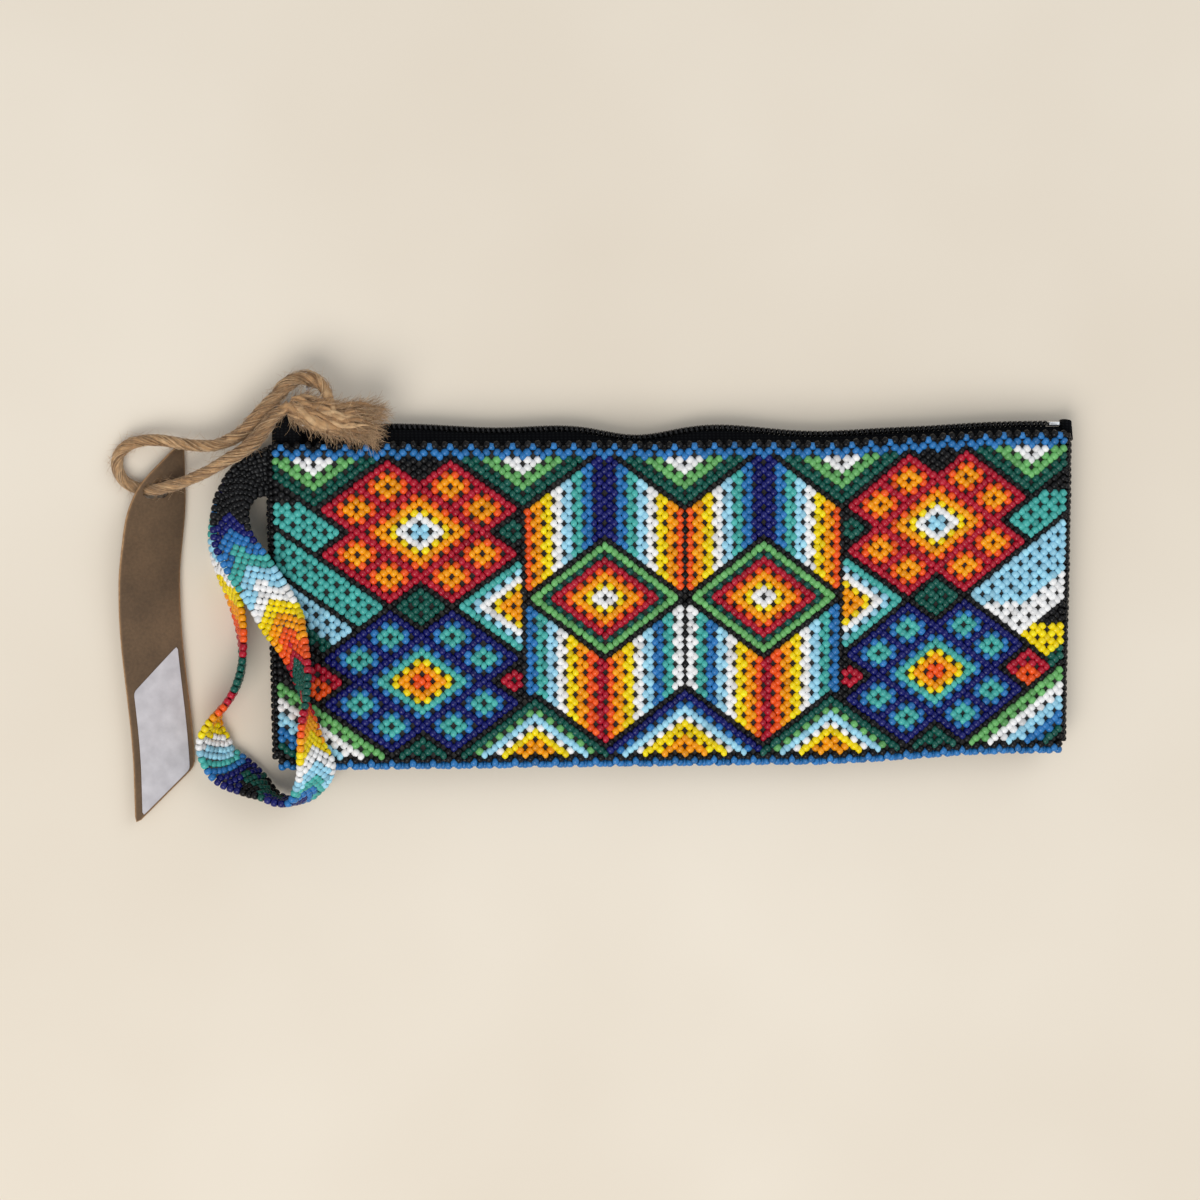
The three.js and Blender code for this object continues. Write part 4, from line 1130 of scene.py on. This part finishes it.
def make_strap():
    """The band's dark thread bed, the net of beads strung on it, and a row of beads along each edge."""
    centre, along, tangents, across, outward = strap_frames()
    wide, thick = CORE_SECTION[:, :1], CORE_SECTION[:, 1:]
    core = centre[::4, None] + wide * across[::4, None] + thick * outward[::4, None]
    Shape().add(ring_stack(core)).piece("strap_core", waxed_thread)
    length = along[-1]
    rows = 4 * round(length / STRAP_ROWS_LENGTH)
    row_unit = length / rows
    work = BeadWork(0.6)
    for column, row, (sideways, down) in net(range(-3, 4), range(0, rows + 1), True):
        offset = column * STRAP_COLUMN
        index = min(int(np.searchsorted(along, row * row_unit)), len(along) - 1)
        middle = centre[index] + across[index] * offset + rng.normal(0, STRAP_JITTER, 3)
        thread = across[index] * sideways * STRAP_COLUMN + tangents[index] * down * row_unit
        letter = strap_letter(along[index], offset, length)
        work.add(letter, middle, thread, outward[index], 0.93 if sideways else 0.87)
    for side in (-1, 1):
        edge = centre + side * STRAP_EDGE * across
        edge_along = lengths_along(edge)
        headings = np.gradient(edge, axis=0)
        for place in np.arange(0.9, edge_along[-1], STRAP_EDGE_BEAD):
            index = int(np.searchsorted(edge_along, place))
            letter = strap_letter(along[index], side * STRAP_EDGE, length)
            middle = edge[index] + rng.normal(0, STRAP_JITTER, 3)
            work.add(letter, middle, headings[index], outward[index], 0.97)
    halves = ("front", "back")
    work.pieces("strap_beads", {
        "K": with_ends(halves, "strap_root"),
        "B": with_ends(halves, "strap_cool"),
        "O": with_ends(halves, "strap_warm"),
        "D": with_ends(halves, "strap_green"),
        "Y": ["strap_light_front"],
        "N": ["strap_middle"],
        "L": ["strap_light_back"],
    })


make_front_beads()
make_strap()

# Leather: two panels and the wall between them, the bed of the beads, the stitches and the lining
PANEL_RINGS = (38, 28, 18, 9, 4, 1.6)
WALL_OUTSIDE = [(0.55, 1.35), (0.5, 1.9), (0.95, 2.9), (1.15, 4.5), (0.95, 6.1), (0.5, 7.1), (0.55, 7.65)]
WALL_INSIDE = [(2.3, 7.65), (2.3, 4.5), (2.3, 1.35)]
WALL_SPANS = 180
BED_LOW = FRONT_TOP + 0.02
BED_HIGH = FRONT_TOP + 0.75
BED_MARGIN = 1.3
STITCH_FROM_EDGE = 2.6
STITCH_PITCH = 3.9
STITCH_SHARE = 0.74
THREAD_RADIUS = 0.2


def panel(low, high, lift=None, margin=0.25):
    """A panel with rolled edges, crowned where lift says so."""
    middle, half = (low + high) / 2, (high - low) / 2
    levels = [(distance, low) for distance in PANEL_RINGS]
    for angle in np.radians(np.linspace(-90, 90, 7)):
        levels.append((half * (1 - math.cos(angle)), middle + half * math.sin(angle)))
    levels += [(distance, high) for distance in PANEL_RINGS[::-1]]
    whole = np.array((HALF_LENGTH - margin, HALF_HEIGHT - margin))
    outline = rounded_outline(*whole, CORNER_RADIUS)
    rings = []
    for distance, height in levels:
        x, y = (outline * ((whole - distance) / whole)).T
        heights = height + (lift(x, y) if lift else np.zeros(len(x)))
        rings.append(np.column_stack([x, y + end_rise(x), heights]))
    return Shape().add(ring_stack(rings))


def wall_path(distance):
    """The way down the left side, along the bottom and up the right side, moved in by a distance."""
    half_x, half_y = HALF_LENGTH - distance, HALF_HEIGHT - distance
    radius = max(CORNER_RADIUS - distance, 0.6)
    top = HALF_HEIGHT - CORNER_RADIUS
    steps = 8
    lower_arcs = corner_arcs(half_x - radius, half_y - radius, radius, steps)[2 * steps:]
    x, y = even_points(np.vstack([(-half_x, top), lower_arcs, (half_x, top)]), WALL_SPANS).T
    return np.column_stack([x, y + end_rise(x)])


def make_wall():
    """The leather strip round the sides and the bottom, drawn in a little between its two seams."""
    columns = []
    for distance, height in WALL_OUTSIDE + WALL_INSIDE:
        path = at_height(wall_path(distance), height)
        if 2 < height < 7 and distance < 2:
            path[:, 2] += 0.12 * np.sin(np.linspace(0, 60, len(path)))
        columns.append(path)
    wall = Shape().add(ring_stack(np.stack(columns, axis=1)))
    wall.piece("leather_wall", black_leather, "black_leather", ["edge_wall"])


def make_stitches():
    """Stitches round the back panel's rim that dip into the leather at both ends."""
    shape = Shape()
    margin = STITCH_FROM_EDGE
    outline = rounded_outline(HALF_LENGTH - margin, HALF_HEIGHT - margin, CORNER_RADIUS - 1, STITCH_PITCH)
    outline[:, 1] += end_rise(outline[:, 0])
    shares = np.linspace(0, 1, 7)
    bulge = np.sin(shares * math.pi)
    for here, after in zip(outline, np.roll(outline, -1, 0)):
        run = here + np.outer(shares, STITCH_SHARE * (after - here))
        path = np.column_stack([run, 0.12 - 0.12 * bulge])
        shape.add(tube(path, THREAD_RADIUS * (0.55 + 0.45 * bulge), 6))
    shape.piece("edge_stitches", waxed_thread)


panel(0.0, LEATHER).piece("leather_back", black_leather, "black_leather", ["back_panel"])
panel(FRONT_UNDER, FRONT_TOP, front_lift).piece(
    "leather_front", black_leather, "black_leather", ["front_panel"])
panel(BED_LOW, BED_HIGH, front_lift, BED_MARGIN).piece("bead_bed", bed_felt)
make_wall()
make_stitches()
for lining, node in (("cloth_back", "back_lining"), ("cloth_front", "front_lining")):
    low, high = (np.array(corner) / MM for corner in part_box(node))
    margin = HALF_HEIGHT - min(high[1], -low[1])
    panel(low[2], high[2], None, margin).piece(lining, lining_cloth, "lining_cloth", [node])

# Zip: woven tapes, a nylon coil, metal stops, slider and pull. The coil and the bottom stop reach farther
# right than their solids
COIL_RIGHT = 99.4
COIL_END = 0.3
COIL_PITCH = 1.36
COIL_STEPS = 13
COIL_SWING = 0.55
COIL_OFFSET = 0.72
COIL_WIRE_RADIUS = 0.33
TAPE_STEPS = 190
TAPE_FREE_FROM = 41.8
TAPE_FREE_ENDS = (-103.7, 105.8)
TAPE_SECTION = np.array([
    (35.6, 2.92), (39.0, 2.92), (41.2, 2.9), (42.2, 2.62), (43.4, 2.1), (44.6, 1.62), (45.6, 1.4),
    (45.6, 1.0), (44.5, 1.2), (43.2, 1.66), (42.0, 2.18), (41.0, 2.44), (39.0, 2.46), (35.6, 2.46)])
TAPE_FOLD_HEIGHTS = (43.6, 47.5)
TAPE_FOLD_HALF = 2.3
TAIL_RINGS = [
    (40.4, 8.0), (42.6, 8.15), (44.8, 8.35), (47.0, 8.45), (48.8, 8.4), (49.9, 8.15), (50.2, 7.95),
]
TAIL_ENDS = (-103.5, -95.9)
TAIL_POINTS = 9
FLANGE_IN = 2.2
FLANGE_OUT = 3.3
BAIL_HALF = [(3.0, SLIDER_TOP - 0.3), (3.0, 50.2), (2.6, 51.0), (1.6, 51.25)]
BAIL_RADIUS = 0.75
BAIL_FLATNESS = 0.56
STOP_HEIGHTS = (45.7, 47.0)
TOP_STOP_ENDS = (-100.7, -99.3)
STOPS = [
    ("stop_top_front", TOP_STOP_ENDS, (0.7, 1.9), "zip_top_stop_front"),
    ("stop_top_back", TOP_STOP_ENDS, (-1.9, -0.7), "zip_top_stop_back"),
    ("stop_bottom", (99.5, 102.6), (-1.9, 1.9), "zip_bottom_stop"),
]


def make_tape(name, face, node):
    """A tape from under its panel's edge up to the coil, which sinks with the zip's ridge."""
    up, out = (TAPE_SECTION if face > 0 else TAPE_SECTION[::-1]).T
    free = up > TAPE_FREE_FROM
    left = np.where(free, TAPE_FREE_ENDS[0], -TAPE_HALF_LENGTH)
    right = np.where(free, TAPE_FREE_ENDS[1], TAPE_HALF_LENGTH)
    rings = []
    for share in np.linspace(0, 1, TAPE_STEPS):
        x = left + share * (right - left)
        dip = sunk(x, ZIP_DIPS) * np.clip((up - 41) / 4.6, 0, 1)
        ripple = 0.1 * np.sin(x / 3.1) * smoothstep(up, 40, 43) * (up < 45)
        rings.append(np.column_stack([x, up + dip, ZIP_MIDDLE + face * (out + ripple)]))
    Shape().add(ring_stack(rings)).piece(name, woven_tape, "zip_tape", [node])


def make_coil(name, face, node):
    """One coil half: a flat spring of nylon whose loops meet those of the other half."""
    turns = (COIL_RIGHT - COIL_LEFT - 2 * COIL_END) / COIL_PITCH
    angles = np.linspace(0, 2 * math.pi * turns, int(turns * COIL_STEPS))
    x = COIL_LEFT + COIL_END + (angles / (2 * math.pi) + (0.5 if face < 0 else 0)) * COIL_PITCH
    keep = x < COIL_RIGHT - COIL_END
    x, angles = x[keep], angles[keep]
    y = (COIL_FOOT + COIL_TOP) / 2 + COIL_SWING * np.sin(angles) + sunk(x, ZIP_DIPS)
    z = ZIP_MIDDLE + face * (COIL_OFFSET - np.cos(angles))
    wire = tube(np.column_stack([x, y, z]), COIL_WIRE_RADIUS, 6)
    Shape().add(wire).piece(name, nylon, "zip_coil", [node])


def make_slider():
    """A plate with two flanges over the coil, and a bail that holds the pull."""
    left, right = SLIDER_X - SLIDER_LENGTH / 2, SLIDER_X + SLIDER_LENGTH / 2
    low = (left, SLIDER_FACE, ZIP_MIDDLE - FLANGE_OUT)
    shape = Shape().add(rounded_box(low, (right, SLIDER_TOP, ZIP_MIDDLE + FLANGE_OUT), 0.5))
    for face in (-1, 1):
        inner, outer = sorted((ZIP_MIDDLE + face * FLANGE_IN, ZIP_MIDDLE + face * FLANGE_OUT))
        low = (left + 0.2, SLIDER_FACE - 1, inner)
        shape.add(rounded_box(low, (right - 0.2, SLIDER_TOP - 0.2, outer), 0.35))
    arch = [(-x, y) for x, y in BAIL_HALF] + BAIL_HALF[::-1]
    path = curve_points([(SLIDER_X + x, y, ZIP_MIDDLE) for x, y in arch], np.linspace(0, 1, 36))
    shape.add(tube(path, BAIL_RADIUS, 12, BAIL_FLATNESS))
    shape.piece("zip_slider_body", zip_metal, "zip_metal", ["zip_slider"], "slider")


def dress_pull():
    """The pull keeps its solid's shape, with softened edges."""
    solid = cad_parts["zip_pull"]
    solid.data.materials.clear()
    solid.data.materials.append(zip_metal)
    soft = solid.modifiers.new("soft_edges", "BEVEL")
    soft.width = 0.22 * MM
    soft.segments = 3
    soft.limit_method = "ANGLE"
    soft.angle_limit = math.radians(40)


def make_tape_fold(name, left, right):
    """The two tapes' ends, folded together beyond the coil."""
    under, over = TAPE_FOLD_HEIGHTS
    low = (left, under, ZIP_MIDDLE - TAPE_FOLD_HALF)
    fold = Shape().add(rounded_box(low, (right, over, ZIP_MIDDLE + TAPE_FOLD_HALF), 0.8))
    fold.piece(name, woven_tape, "zip_tape")


def make_tape_tail():
    """The front tape's tail at the open end, turned over the slider's left end."""
    rings = []
    for y, z in TAIL_RINGS:
        narrower = np.interp(y, [40, 47, 49, 50.2], [0.0, 0.2, 0.6, 1.8])
        left, right = TAIL_ENDS[0] + narrower, TAIL_ENDS[1] - narrower
        across = np.linspace(left, right, TAIL_POINTS)
        bow = 0.25 * np.sin((across - left) / (right - left) * math.pi)
        level = np.full(TAIL_POINTS, y)
        over = np.column_stack([across, level, z + 0.28 + bow])
        under = np.column_stack([across, level, z - 0.1 + bow])[::-1]
        rings.append(np.vstack([over, under]))
    Shape().add(ring_stack(rings)).piece("tape_tail", woven_tape, "zip_tape")


for half, face in (("front", 1), ("back", -1)):
    make_tape(f"tape_{half}", face, f"zip_tape_{half}")
for half, face in (("front", 1), ("back", -1)):
    make_coil(f"coil_{half}", face, f"zip_coil_{half}")
make_slider()
dress_pull()
make_tape_fold("tape_fold_left", -103.7, -99.25)
make_tape_tail()
make_tape_fold("tape_fold_right", 102.9, 105.7)
for name, (left, right), (back, front), node in STOPS:
    low = (left, STOP_HEIGHTS[0], ZIP_MIDDLE + back)
    stop = Shape().add(rounded_box(low, (right, STOP_HEIGHTS[1], ZIP_MIDDLE + front), 0.4))
    stop.piece(name, zip_metal, "zip_metal", [node])


# Stage: a plain pale floor, soft light from the lower left, a dim fill
FLOOR_HALF = 3.0
FLOOR_HEIGHT = -0.00021


def make_floor():
    mesh = bpy.data.meshes.new("floor")
    corners = [(x * FLOOR_HALF, y * FLOOR_HALF, 0) for x, y in ((-1, -1), (1, -1), (1, 1), (-1, 1))]
    mesh.from_pydata(corners, [], [[0, 1, 2, 3]])
    stops = [(0.3, linear((226, 214, 196))), (0.7, linear((236, 226, 210)))]
    mesh.materials.append(mottled_material("floor", 0.85, (6, 3), stops))
    floor = bpy.data.objects.new("floor", mesh)
    floor.location.z = FLOOR_HEIGHT
    bpy.context.scene.collection.objects.link(floor)


def area_light(name, place, size, power, colour):
    """A soft lamp that looks at the origin."""
    light = bpy.data.lights.new(name, "AREA")
    light.energy = power
    light.size = size
    light.color = colour
    lamp = bpy.data.objects.new(name, light)
    lamp.location = place
    lamp.rotation_euler = (-Vector(place)).to_track_quat("-Z", "Y").to_euler()
    bpy.context.scene.collection.objects.link(lamp)


make_floor()
area_light("key", (-0.55, -1.05, 1.62), 1.5, 27.0, (1.0, 0.97, 0.93))
area_light("fill", (1.05, 0.75, 1.35), 1.3, 7.0, (0.93, 0.97, 1.0))
world = bpy.data.worlds.new("world")
world.use_nodes = True
world.node_tree.nodes["Background"].inputs["Color"].default_value = (0.93, 0.96, 1.0, 1)
world.node_tree.nodes["Background"].inputs["Strength"].default_value = 0.46
bpy.context.scene.world = world
bpy.context.scene.view_settings.view_transform = "Standard"
